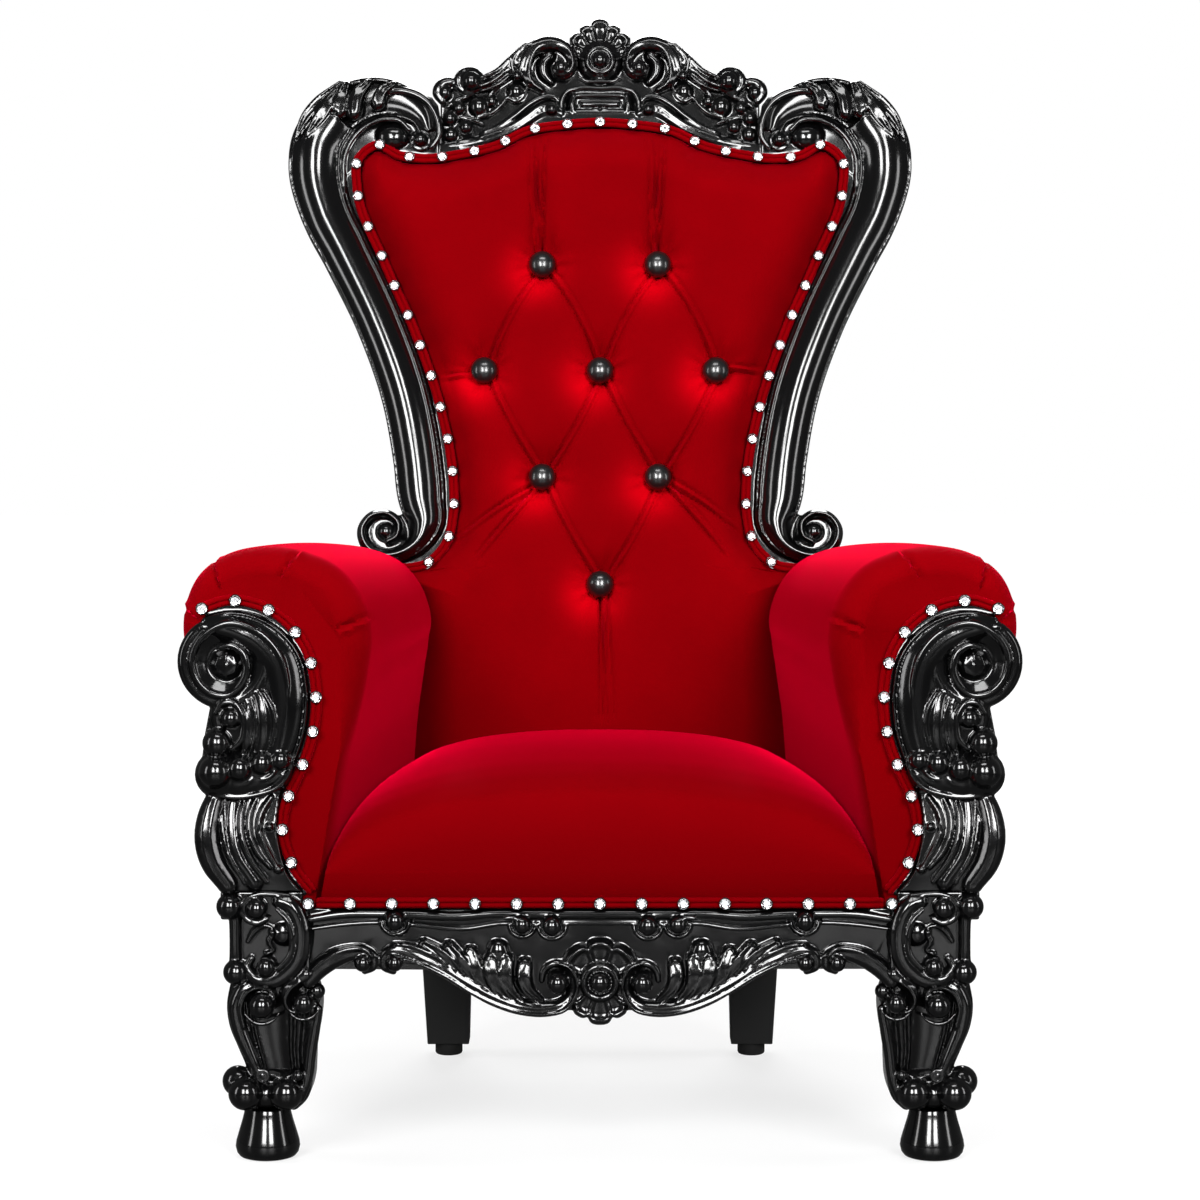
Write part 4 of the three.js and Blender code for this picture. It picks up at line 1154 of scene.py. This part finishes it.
# Pleats that run from a button to the edge
TAILS = [
    ((-67.5, 469), (-78, 632)), ((-67.5, 469), (-64, 634)), ((67.5, 469), (78, 632)),
    ((67.5, 469), (64, 634)), ((-135, 344), (-204, 340)), ((135, 344), (204, 340)),
    ((-67.5, 219), (-176, 146)), ((67.5, 219), (176, 146)), ((-67.5, 219), (-150, 120)),
    ((67.5, 219), (150, 120)), ((0, 94), (7, -70)), ((0, 94), (1, -70)),
]
PLEAT_BOW = 5.0  # how far a pleat between two buttons bows aside
PLEAT_EASE = 14  # how fast a pleat comes up at its ends
DIMPLE_REACH = (24, 42)  # of the steep and the wide part of a dimple
DIMPLE_SHARE = (0.62, 0.38)
PUCKER = 0.8  # height of the puckers round a button
SLACK = 0.5  # height of the soft waves over the whole back


def pleats(u, v):
    """Height of the pleats over the buttoned field: two creases with a lip between, in a shallow valley."""
    height = np.zeros(u.shape)
    for number, ((au, av), (bu, bv)) in enumerate(FOLDS + TAILS):
        tail = number >= len(FOLDS)
        length = math.hypot(bu - au, bv - av)
        eu = (bu - au) / length
        ev = (bv - av) / length
        along = ((u - au) * eu + (v - av) * ev) / length
        bow = PLEAT_BOW * (1 if number % 2 else -1) * np.sin(np.clip(along, 0, 1) * math.pi)
        off = (u - au) * -ev + (v - av) * eu - (0 if tail else bow)
        ends = np.clip(along * PLEAT_EASE, 0, 1) * np.clip((1 - along) * PLEAT_EASE, 0, 1)
        if tail:
            fade = ends * np.clip(1.15 - along, 0, 1) ** 0.8
        else:
            fade = ends * (0.75 + 0.25 * np.cos(along * 2 * math.pi))
        crease = -np.exp(-((off / 1.7) ** 2)) + 0.6 * np.exp(-(((off - 4.0) / 2.4) ** 2))
        second = -0.5 * np.exp(-(((off - 8.2) / 1.8) ** 2))
        valley = -0.9 * np.exp(-((off / 15) ** 2))
        height += sizes().pleat * fade * (crease + second + valley)
    return height


def buttoned(u, v):
    """Height of the buttoned field: dimples, pleats and the puckers round each button."""
    height = pleats(u, v)
    for number, (bu, bv) in enumerate(BUTTONS):
        far = np.hypot(u - bu, v - bv)
        turn = np.arctan2(v - bv, u - bu)
        steep = DIMPLE_SHARE[0] * np.exp(-((far / DIMPLE_REACH[0]) ** 2))
        wide = DIMPLE_SHARE[1] * np.exp(-far / DIMPLE_REACH[1])
        height -= sizes().dimple * (steep + wide)
        ripple = np.sin(turn * 9 + number) + 0.6 * np.sin(turn * 14 + 2.1 * number)
        height += PUCKER * ripple * np.exp(-(((far - 22) / 15) ** 2))
    slack = np.sin(u / 37 + 0.8) * np.sin(v / 53 + 0.3) + 0.6 * np.sin(u / 23 - v / 31)
    return height + SLACK * slack


def rounded(far, reach):
    """A quarter of a wave: from 0 at an edge to 1 at a reach from it and beyond."""
    return np.sin(np.clip(far / reach, 0, 1) * math.pi / 2)


def slab(name, u, v, w, rear):
    """A padded slab: a grid of places with a height each, closed round its edge and behind."""
    rows, columns = u.shape
    bpy.ops.mesh.primitive_grid_add(x_subdivisions=columns - 1, y_subdivisions=rows - 1, size=2)
    obj = bpy.context.object
    obj.name = name
    points = np.stack([u, v, w], axis=2).reshape(-1, 3)
    obj.data.vertices.foreach_set("co", points.astype(np.float32).ravel())
    obj.data.update()
    edit(obj)
    bpy.ops.mesh.select_mode(type="EDGE")
    bpy.ops.mesh.select_all(action="DESELECT")
    bpy.ops.mesh.select_non_manifold()
    bpy.ops.mesh.extrude_region_move()
    leave()
    count = rows * columns
    for vert in obj.data.vertices[count:]:
        vert.co.z = rear
    edit(obj)
    bpy.ops.mesh.select_all(action="DESELECT")
    bpy.ops.mesh.select_non_manifold()
    bpy.ops.mesh.fill_holes(sides=0)
    bpy.ops.mesh.select_all(action="SELECT")
    bpy.ops.mesh.normals_make_consistent(inside=False)
    leave()
    return shade(obj, 60)


PAINTED_SHEEN_GAIN = 2.0
PAINTED_SHEEN_SHIFT = (-10, -12)  # from a button to the middle of its painted sheen highlight
PAINTED_SHEEN_REACH = 30


def paint_button_sheen(obj, u, v):
    """Paints a sheen highlight into the velvet: a brighter colour below and left of each button."""
    bright = np.zeros(u.shape)
    for bu, bv in BUTTONS:
        far = np.hypot(u - bu - PAINTED_SHEEN_SHIFT[0], v - bv - PAINTED_SHEEN_SHIFT[1])
        bright = np.maximum(bright, np.exp(-((far / PAINTED_SHEEN_REACH) ** 2)))
    marks = np.zeros(len(obj.data.vertices))
    marks[:u.size] = PAINTED_SHEEN_GAIN * bright.ravel()
    obj.data.attributes.new(PAINTED_SHEEN, "FLOAT", "POINT").data.foreach_set("value", marks)


class THRONE_OT_back_cushion(bpy.types.Operator):
    """Pads, buttons and pleats the back"""

    bl_idname = "throne.back_cushion"
    bl_label = "Back cushion"

    def execute(self, context):
        u, v, far = cushion_field(CUSHION_INSET, 245, 350)
        field = CUSHION_EDGE + (CUSHION_CROWN - CUSHION_EDGE) * rounded(far, CUSHION_ROLL)
        w = field + buttoned(u, v) * np.clip(far / CUSHION_CALM, 0, 1)
        for nail_u, nail_v in spaced(across(BACK_WELT), BACK_NAILS):
            w -= NAIL_DENT * np.exp(-((np.hypot(u - nail_u, v - nail_v) / NAIL_DENT_REACH) ** 2))
        cushion = put(slab("back", u, v, w, CUSHION_REAR), BACK)
        # Painted sheen highlight beside each button, marked on the cushion's points
        paint_button_sheen(cushion, u, v)
        dress(cushion, "back_cushion_buttoned", "red_velvet", "velvet", "back_cushion")
        return {"FINISHED"}


# The outer back, measured rearwards: its front face, its edge, the swell near the edge and the wide crown
OUTER_MARGIN = 4
OUTER_FACE = 28.5
OUTER_EDGE = 29
OUTER_SWELL = 11
OUTER_CROWN = 5


class THRONE_OT_outer_back(bpy.types.Operator):
    """Stretches velvet over the panel behind the back"""

    bl_idname = "throne.outer_back"
    bl_label = "Outer back"

    def execute(self, context):
        u, v, far = cushion_field(-OUTER_MARGIN, 61, 81)
        w = OUTER_EDGE + OUTER_SWELL * rounded(far, 18) + OUTER_CROWN * rounded(far, 150)
        panel = slab("outer", -u, v, w, OUTER_FACE)
        panel.data.transform(Matrix.Rotation(math.pi, 4, "Y"))
        dress(put(panel, BACK), "outer_back_covered", "red_velvet", "velvet", "outer_back")
        return {"FINISHED"}


BUTTON_LIFT = 4  # how far a button's underside stands off the bottom of its dimple
BUTTON_RIM = 6  # height of a button's side
BUTTON_DOME = 0.72  # height of its dome as a share of its radius


class THRONE_OT_back_buttons(bpy.types.Operator):
    """Shapes the domed buttons"""

    bl_idname = "throne.back_buttons"
    bl_label = "Back buttons"

    def execute(self, context):
        radius = sizes().button
        seat = CUSHION_CROWN - sizes().dimple + BUTTON_LIFT
        rim = seat + BUTTON_RIM
        turn = np.linspace(0, math.pi / 2, 14)
        dome = [(radius * math.cos(a), rim + radius * BUTTON_DOME * math.sin(a)) for a in turn]
        profile = [(0, seat), (radius * 0.8, seat), (radius * 0.97, seat + 3), *dome[:-1], (0, dome[-1][1])]
        for number, (u, v) in enumerate(BUTTONS, 1):
            button = spun(profile, (u, v, 0), 40)
            shade(button, 50)
            name = f"back_button_domed_{number}"
            dress(put(button, BACK), name, "button_black", "satin_black", f"back_button_{number}")
        return {"FINISHED"}


ARM = [
    (285, SOFT_BOTTOM), (262, 400), (240, 500), (236, 530), (245, 574), (270, 606), (306, 622), (346, 627),
    (384, 618), (410, 598), (423, 570), (426, 538), (417, 505), (396, 483), (362, 470), (342, 455),
    (334, 420), (332, 350), (328, SOFT_BOTTOM),
]
ARM_DROP = 28  # how much lower the roll is where it meets the back
ARM_SHIFT_LOW = 82  # how far the arm moves in towards the back, at its foot and at its bend
ARM_SHIFT_HIGH = 46
ARM_BEND_Z = 500
ARM_LENGTH = ARM_BACK_Y - ARM_FRONT_Y
ARM_DOME = 40.0  # depth over which the front is domed
ARM_TAIL = 14  # depth over which the rear is rounded
ARM_ROLL_Z = 420  # where the wall passes into the roll, over the next height
ARM_ROLL_BLEND = 60
ARM_SWELL = 2.2
ARM_PLEAT_FADE = 44  # depth over which the front's pleats run out
ARM_PLEAT_SINK = 4


def arm_shift(y, z):
    """How far the arm's section has moved in towards the middle at a depth and height."""
    share = (y - ARM_FRONT_Y) / ARM_LENGTH
    up = np.clip((z - SOFT_BOTTOM) / (ARM_BEND_Z - SOFT_BOTTOM), 0, 1)
    return share * (ARM_SHIFT_LOW + (ARM_SHIFT_HIGH - ARM_SHIFT_LOW) * up)


ARM_PLEATS = [((340, 567), (318, 606)), ((378, 568), (390, 602)), ((303, 529), (262, 546)),
              ((405, 552), (428, 566))]


def arm():
    """Rolled arm with a drawn-in, softly domed front and pleats that fan out from the nails."""
    section = smooth_line(ARM, 240)
    x = section[:, 0]
    z = section[:, 1]
    inward = -normals_of(section)
    high = np.clip((z - ARM_ROLL_Z) / ARM_ROLL_BLEND, 0, 1)
    straight = ARM_LENGTH - ARM_TAIL
    front = ARM_DOME * (1 - np.cos(np.linspace(0, math.pi / 2, 26)))
    body = np.linspace(front[-1], straight, 60)[1:]
    rear = straight + ARM_TAIL * np.sin(np.linspace(0, math.pi / 2, 8))[1:]
    rings = []
    for far in np.concatenate([front, body, rear]):
        near = max(0.0, 1 - far / ARM_DOME)
        tail = max(0.0, (far - straight) / ARM_TAIL)
        inset = (5 + 22 * high) * (1 - math.sqrt(1 - near**2)) + 12 * high * (1 - math.sqrt(1 - tail**2))
        swell = ARM_SWELL * high * math.sin(math.pi * min(far / ARM_LENGTH, 1))
        px = x + inward[:, 0] * (inset - swell)
        pz = np.maximum(z + inward[:, 1] * (inset - swell), SOFT_BOTTOM)
        sink = np.zeros(len(x))
        for (au, av), (bu, bv) in ARM_PLEATS:
            length = math.hypot(bu - au, bv - av)
            along = ((px - au) * (bu - au) + (pz - av) * (bv - av)) / length**2
            off = ((px - au) * -(bv - av) + (pz - av) * (bu - au)) / length
            fade = np.clip(along * 3 + 0.4, 0, 1) * math.exp(-((far / ARM_PLEAT_FADE) ** 2))
            crease = np.exp(-((off / 2.2) ** 2)) - 0.5 * np.exp(-(((off - 5) / 3) ** 2))
            dent = fade * crease * ARM_PLEAT_SINK
            px = px + inward[:, 0] * dent
            pz = pz + inward[:, 1] * dent
            sink = sink + dent
        y = ARM_FRONT_Y + far + sink * near
        pz = pz - ARM_DROP * (far / ARM_LENGTH) ** 1.2 * np.clip((pz - 470) / 90, 0, 1)
        rings.append(np.stack([px - arm_shift(y, pz), y, pz], axis=1))
    obj = outward(mesh_object("arm", *skin(rings)))
    return shade(obj, 50)


ARM_ROOM = CUSHION_HALF + 1.5
# Outline of the notch at the arm's rear that the cushion and the post's lower scroll take, in the back frame
ARM_NOTCH = [
    (100, -300), (ARM_ROOM, -300), (ARM_ROOM, 78), (241, 92), (241, 104), (292, 104), (292, 400), (100, 400),
]


class THRONE_OT_arms(bpy.types.Operator):
    """Pads the rolled arms"""

    bl_idname = "throne.arms"
    bl_label = "Arms"

    def execute(self, context):
        right = arm()
        cutter = mesh_object("notch", *skin([[(u, v, w) for u, v in ARM_NOTCH] for w in (-140, 42)]))
        outward(cutter)
        cutter.data.transform(BACK)
        apply_modifier(right, "BOOLEAN", operation="DIFFERENCE", object=cutter, solver="EXACT")
        bpy.data.objects.remove(cutter)
        for piece in dress_pair(put(right, WORLD), "arm_padded", "red_velvet", "velvet", "arm"):
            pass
        return {"FINISHED"}


SEAT_GAP = 1.2  # between the seat and each arm
SEAT_REAR_GAP = 0.4  # between the seat and the back cushion's crown
# Stations of the seat as depth, underside, height at the sides and height in the middle
SEAT = [
    (-334, 298, 298.5, 304), (-333, 287, 299.5, 322), (-330.5, 276, 301, 341), (-326, 267, 304, 356),
    (-314, SOFT_BOTTOM, 313, 376), (-290, SOFT_BOTTOM, 326, 388), (-250, SOFT_BOTTOM, 338, 398),
    (-200, SOFT_BOTTOM, 346, 404), (-120, SOFT_BOTTOM, 352, 408), (-40, SOFT_BOTTOM, 354, 406),
    (60, SOFT_BOTTOM, 355, 399), (160, SOFT_BOTTOM, 355, 390),
]


def seat():
    """Domed seat that fills the room between the arms, with a full nose over the front rail."""
    levels = smooth_line([(y, z, low, side, z) for y, low, side, z in SEAT], 110)
    turn = np.linspace(-math.pi / 2, math.pi / 2, 121)
    rings = []
    for y, _, low, side, top in levels:
        low = max(low, SOFT_BOTTOM)
        s = np.sin(turn)
        dome = np.maximum(1 - np.abs(s) ** 2.4, 0) ** 0.62
        z = side + (top - side) * dome
        wall = np.linspace(low, side, 10)[:-1]
        under = np.linspace(1, -1, 61)[1:-1]
        zs = np.concatenate([wall, z, wall[::-1], np.full(len(under), low)])
        ss = np.concatenate([np.full(len(wall), -1.0), s, np.full(len(wall), 1.0), under])
        beside_arm = np.minimum(zs, side)
        share = (beside_arm - SOFT_BOTTOM) / (ARM_BEND_Z - SOFT_BOTTOM)
        wall_u = ARM[0][0] + (ARM[2][0] - ARM[0][0]) * share
        half = wall_u - arm_shift(max(y, ARM_FRONT_Y), beside_arm) - SEAT_GAP
        rings.append(np.stack([ss * half, np.full(len(zs), y), zs], axis=1))
    return outward(mesh_object("seat", *skin(rings)))


class THRONE_OT_seat(bpy.types.Operator):
    """Pads the domed seat"""

    bl_idname = "throne.seat"
    bl_label = "Seat"

    def execute(self, context):
        cushion = seat()
        edit(cushion)
        normal = BACK.to_3x3() @ Vector((0, 0, 1))
        rear = BACK @ Vector((0, 0, CUSHION_CROWN + SEAT_REAR_GAP))
        bpy.ops.mesh.bisect(plane_co=rear, plane_no=normal, use_fill=True, clear_inner=True)
        leave()
        shade(cushion, 45)
        dress(put(cushion, WORLD), "seat_padded", "red_velvet", "velvet", "seat")
        return {"FINISHED"}


# Welts and nailheads

BACK_WELT_W = 5  # heights of the welts' cords over their frames
ARM_WELT_W = ARM_FACE + 2.6
SEAT_WELT_W = 0.5
SEAT_WELT_HALF = 284
ARM_NAILS = 11
SEAT_NAILS = 15
SEAT_NAILS_HALF = 294  # half the length of the seat's row of nails


def cords(line, w, name, place):
    """A double welt: two cords side by side along a line."""
    course = smooth_line(line, 8 * len(line))
    side = normals_of(course)
    radius = sizes().welt
    form = Carving()
    for offset in (-0.88 * radius, 0.88 * radius):
        form.rope(np.column_stack([course + side * offset, np.full(len(course), radius)]), w, fine=2)
    welt = outward(put(form.joined(), place))
    only(welt)
    bpy.ops.object.shade_smooth()
    return dress(welt, name, "red_velvet", "velvet")


def spaced(line, count):
    """Places at even spaces along a line."""
    course = smooth_line(line, 600)
    far = np.concatenate([[0.0], np.cumsum(np.linalg.norm(np.diff(course, axis=0), axis=1))])
    at = np.linspace(0, far[-1], count)
    return np.stack([np.interp(at, far, course[:, 0]), np.interp(at, far, course[:, 1])], axis=1)


FACETS = 8


def circle(radius, height, turn=0.0):
    """As many places on a level circle as a stone has facets."""
    angle = np.arange(FACETS) * 2 * math.pi / FACETS + turn
    return [(radius * math.cos(a), radius * math.sin(a), height) for a in angle]


def cut_stone(radius, turn):
    """Points and faces of a cut stone: a table, a shoulder of facets, a girdle and a point below."""
    sides = FACETS
    table = circle(0.52 * radius, 0.56 * radius, turn)
    shoulder = circle(0.84 * radius, 0.34 * radius, turn + math.pi / sides)
    girdle = circle(radius, 0.06 * radius, turn)
    points = table + shoulder + girdle + [(0, 0, -0.45 * radius)]
    faces = [tuple(range(sides))]
    for i in range(sides):
        j = (i + 1) % sides
        faces.append((i, sides + i, j))
        faces.append((sides + i, 2 * sides + j, j))
        faces.append((2 * sides + i, sides + i, i))
        faces.append((2 * sides + i, 2 * sides + j, sides + i))
        faces.append((3 * sides, 2 * sides + j, 2 * sides + i))
    return points, faces


def gathered(name, shapes, place):
    """One object from many small meshes, each as points, faces and its middle."""
    points = []
    faces = []
    for shape_points, shape_faces, (u, v, w) in shapes:
        start = len(points)
        points += [(u + x, v + y, w + z) for x, y, z in shape_points]
        faces += [tuple(start + i for i in face) for face in shape_faces]
    return put(outward(mesh_object(name, points, faces)), place)


def round_skin(profile, sides):
    """Points and faces of a small turned form, from a profile that closes on itself."""
    rings = []
    for i in range(sides):
        a = 2 * math.pi * i / sides
        rings.append([(r * math.cos(a), r * math.sin(a), h) for r, h in profile])
    rings.append(rings[0])
    return skin(rings, capped=False)


SETTING = [(0.86, -0.5), (1.1, -0.5), (1.12, 0.0), (1.02, 0.16), (0.9, 0.05)]  # in shares of a nail's radius


def nails(places, w, name, place, *nodes):
    """Cut stones in dark settings over silver foil, at places along a welt."""
    radius = sizes().nail
    rim = [(share * radius, height * radius) for share, height in SETTING]
    foil = [(0, 0, -0.58 * radius), *circle(0.9 * radius, -0.02 * radius)]
    foil_faces = [(0, 1 + i, 1 + (i + 1) % FACETS) for i in range(FACETS)] + [tuple(range(FACETS, 0, -1))]
    stones = []
    rims = []
    foils = []
    for number, (u, v) in enumerate(places):
        stones.append((*cut_stone(radius * 0.97, number * 0.7), (u, v, w + 0.12 * radius)))
        rims.append((*round_skin(rim, 20), (u, v, w)))
        foils.append((foil, foil_faces, (u, v, w - 0.3)))
    dress(gathered("stones", stones, place), f"{name}_stones", "cut_glass", "crystal", *nodes)
    dress(gathered("settings", rims, place), f"{name}_settings", "dark_setting", "crystal")
    dress(gathered("foils", foils, place), f"{name}_foils", "silver_foil", "crystal")


def mirrored(places):
    return [(-u, v) for u, v in places]


class THRONE_OT_welts(bpy.types.Operator):
    """Lays the double welts between velvet and wood"""

    bl_idname = "throne.welts"
    bl_label = "Welts"

    def execute(self, context):
        cords(across(BACK_WELT), BACK_WELT_W, "back_welt", BACK)
        cords(ARM_WELT, ARM_WELT_W, "arm_welt_right", FRONT)
        cords(mirrored(ARM_WELT), ARM_WELT_W, "arm_welt_left", FRONT)
        seat_line = [(u, SEAT_WELT_Z) for u in (SEAT_WELT_HALF, 0, -SEAT_WELT_HALF)]
        cords(seat_line, SEAT_WELT_W, "seat_welt", FRONT)
        return {"FINISHED"}


class THRONE_OT_nailheads(bpy.types.Operator):
    """Sets the cut-glass nailheads along the welts"""

    bl_idname = "throne.nailheads"
    bl_label = "Nailheads"

    def execute(self, context):
        nails(spaced(across(BACK_WELT), BACK_NAILS), BACK_WELT_W + 5, "back_nails", BACK, "back_trim")
        arm_places = spaced(ARM_WELT, ARM_NAILS + 1)[:-1]
        nails(arm_places, ARM_WELT_W + 5.4, "arm_nails_right", FRONT, "arm_trim_right")
        nails(mirrored(arm_places), ARM_WELT_W + 5.4, "arm_nails_left", FRONT, "arm_trim_left")
        seat_places = [(u, SEAT_WELT_Z) for u in np.linspace(-SEAT_NAILS_HALF, SEAT_NAILS_HALF, SEAT_NAILS)]
        nails(seat_places, SEAT_WELT_W + 5.5, "seat_nails", FRONT, "seat_trim")
        return {"FINISHED"}


# Stage

CAMERA_AT = (0, -3.63, 0.815)
CAMERA_PITCH = math.radians(4.16)
CAMERA_LENS = 99
CAMERA_SENSOR = 36
FLOOR_REACH = 14
CARD_SIZE = 6
CARD_AT = (0, -1, -0.002)
ROOM_GREY = 0.08


def glow(paint, near, far, low, high):
    """Lets a ground glow at one level near the chair and at another far from it."""
    reach = paint.node("ShaderNodeVectorMath", {"operation": "LENGTH"}, {0: paint.place()}, output="Value")
    fade = paint.node("ShaderNodeMapRange", {"interpolation_type": "SMOOTHSTEP"},
                      {"Value": reach, "From Min": near, "From Max": far})
    paint.set("Emission Color", paint.mix(fade, grey(low), grey(high)))
    return paint.material


def floor_paint():
    """Pale floor that fades into the white of the studio."""
    paint = Paint("pale_floor", roughness=0.7, specular_ior_level=0.1, emission_strength=1.0)
    paint.set("Base Color", grey(0.22))
    return glow(paint, 0.4, 3.5, 0.72, 1.0)


def card_paint():
    """Card under the floor that only reflections see: it glows most near its middle."""
    paint = Paint("bounce_card", emission_strength=1.0)
    paint.set("Base Color", grey(0))
    return glow(paint, 0.2, 2.2, 0.1, 0.03)


# Lamps as name, place, aim, width, height, power and the rays that don't see them. A lamp hidden from matt
# surfaces puts the gleams on the lacquer, and one hidden from reflections lights the velvet.
PAIRED_LAMPS = (
    ("key", (0.85, -3.8, 1.45), (0, 0, 0.7), 0.9, 1.3, 92, "visible_diffuse"),
    ("hood", (1.0, -3.7, 2.5), (0, 0, 0.9), 0.7, 0.6, 34, "visible_diffuse"),
    ("strip", (2.6, -1.4, 1.1), (0, 0, 0.6), 0.4, 1.8, 14, "visible_diffuse"),
    ("fill", (1.5, -3.0, 2.1), (0, 0, 0.6), 1.4, 1.2, 128, "visible_glossy"),
    ("wing", (2.8, 0.3, 1.6), (0, 0, 0.5), 1.0, 1.0, 45, "visible_glossy"),
)
MIDDLE_LAMPS = (
    ("top", (0, -0.7, 3.0), (0, 0, 0.5), 2.2, 1.2, 26, "visible_glossy"),
    ("crest_gleam", (0, -1.6, 3.0), (0, 0, 0.6), 1.4, 0.5, 22, "visible_diffuse"),
)
REAR_LAMP = ("rear", (0, 2.8, 2.4), (0, 0, 0.8), 2.0, 1.2, 65)


def softbox(name, at, aim, width, height, power, unseen=None):
    light = bpy.data.lights.new(name, "AREA")
    light.shape = "RECTANGLE"
    light.size = width
    light.size_y = height
    light.energy = power
    lamp = bpy.data.objects.new(name, light)
    lamp.location = at
    lamp.rotation_euler = (Vector(aim) - Vector(at)).to_track_quat("-Z", "Y").to_euler()
    if unseen:
        setattr(lamp, unseen, False)
    bpy.context.scene.collection.objects.link(lamp)


class THRONE_OT_stage(bpy.types.Operator):
    """Sets the camera, the pale floor and the studio light"""

    bl_idname = "throne.stage"
    bl_label = "Stage"

    def execute(self, context):
        bpy.ops.object.select_all(action="DESELECT")
        bpy.ops.object.camera_add(location=CAMERA_AT, rotation=(math.pi / 2 - CAMERA_PITCH, 0, 0))
        camera = bpy.context.object
        camera.data.lens = CAMERA_LENS
        camera.data.sensor_width = CAMERA_SENSOR
        context.scene.camera = camera
        bpy.ops.mesh.primitive_circle_add(vertices=96, radius=FLOOR_REACH, fill_type="NGON")
        floor = bpy.context.object
        floor.name = "floor"
        floor.data.materials.append(floor_paint())
        floor.visible_glossy = False
        floor.visible_diffuse = False
        bpy.ops.mesh.primitive_plane_add(size=CARD_SIZE, location=CARD_AT)
        card = bpy.context.object
        card.name = "bounce_card"
        card.data.materials.append(card_paint())
        for sight in ("visible_camera", "visible_diffuse", "visible_transmission", "visible_shadow"):
            setattr(card, sight, False)
        for side in (-1, 1):
            for name, (x, y, z), *rest in PAIRED_LAMPS:
                softbox(f"{name}_{side}", (x * side, y, z), *rest)
        for lamp in (*MIDDLE_LAMPS, REAR_LAMP):
            softbox(*lamp)
        world = bpy.data.worlds.new("studio")
        context.scene.world = world
        world.use_nodes = True
        tree = world.node_tree
        air = tree.nodes["Background"]
        path = tree.nodes.new("ShaderNodeLightPath")
        seen = tree.nodes.new("ShaderNodeMix")
        seen.data_type = "RGBA"
        seen.inputs[6].default_value = grey(ROOM_GREY)
        seen.inputs[7].default_value = grey(1)
        tree.links.new(path.outputs["Is Camera Ray"], seen.inputs[0])
        tree.links.new(seen.outputs[2], air.inputs["Color"])
        context.scene.view_settings.view_transform = "Standard"
        return {"FINISHED"}


class THRONE_PT_pieces(bpy.types.Panel):
    """Lists the throne's pieces in the order they are made"""

    bl_idname = "THRONE_PT_pieces"
    bl_label = "Throne"
    bl_space_type = "VIEW_3D"
    bl_region_type = "UI"
    bl_category = "Throne"

    def draw(self, context):
        for operator in OPERATORS:
            self.layout.operator(operator.bl_idname)


OPERATORS = (
    THRONE_OT_stage, THRONE_OT_arm_posts, THRONE_OT_front_legs, THRONE_OT_front_rail, THRONE_OT_back_posts,
    THRONE_OT_crest_rail, THRONE_OT_feet, THRONE_OT_back_legs, THRONE_OT_plain_rails, THRONE_OT_back_cushion,
    THRONE_OT_outer_back, THRONE_OT_back_buttons, THRONE_OT_arms, THRONE_OT_seat, THRONE_OT_welts,
    THRONE_OT_nailheads,
)
CLASSES = (ThroneSizes, ThroneColours, *OPERATORS, THRONE_PT_pieces)


def register():
    for cls in CLASSES:
        bpy.utils.register_class(cls)
    bpy.types.Scene.throne_sizes = bpy.props.PointerProperty(type=ThroneSizes)
    bpy.types.Scene.throne_colours = bpy.props.PointerProperty(type=ThroneColours)


def unregister():
    del bpy.types.Scene.throne_colours
    del bpy.types.Scene.throne_sizes
    for cls in reversed(CLASSES):
        bpy.utils.unregister_class(cls)


def main():
    register()
    for operator in OPERATORS:
        area, name = operator.bl_idname.split(".")
        getattr(getattr(bpy.ops, area), name)()


if __name__ == "__main__":
    main()
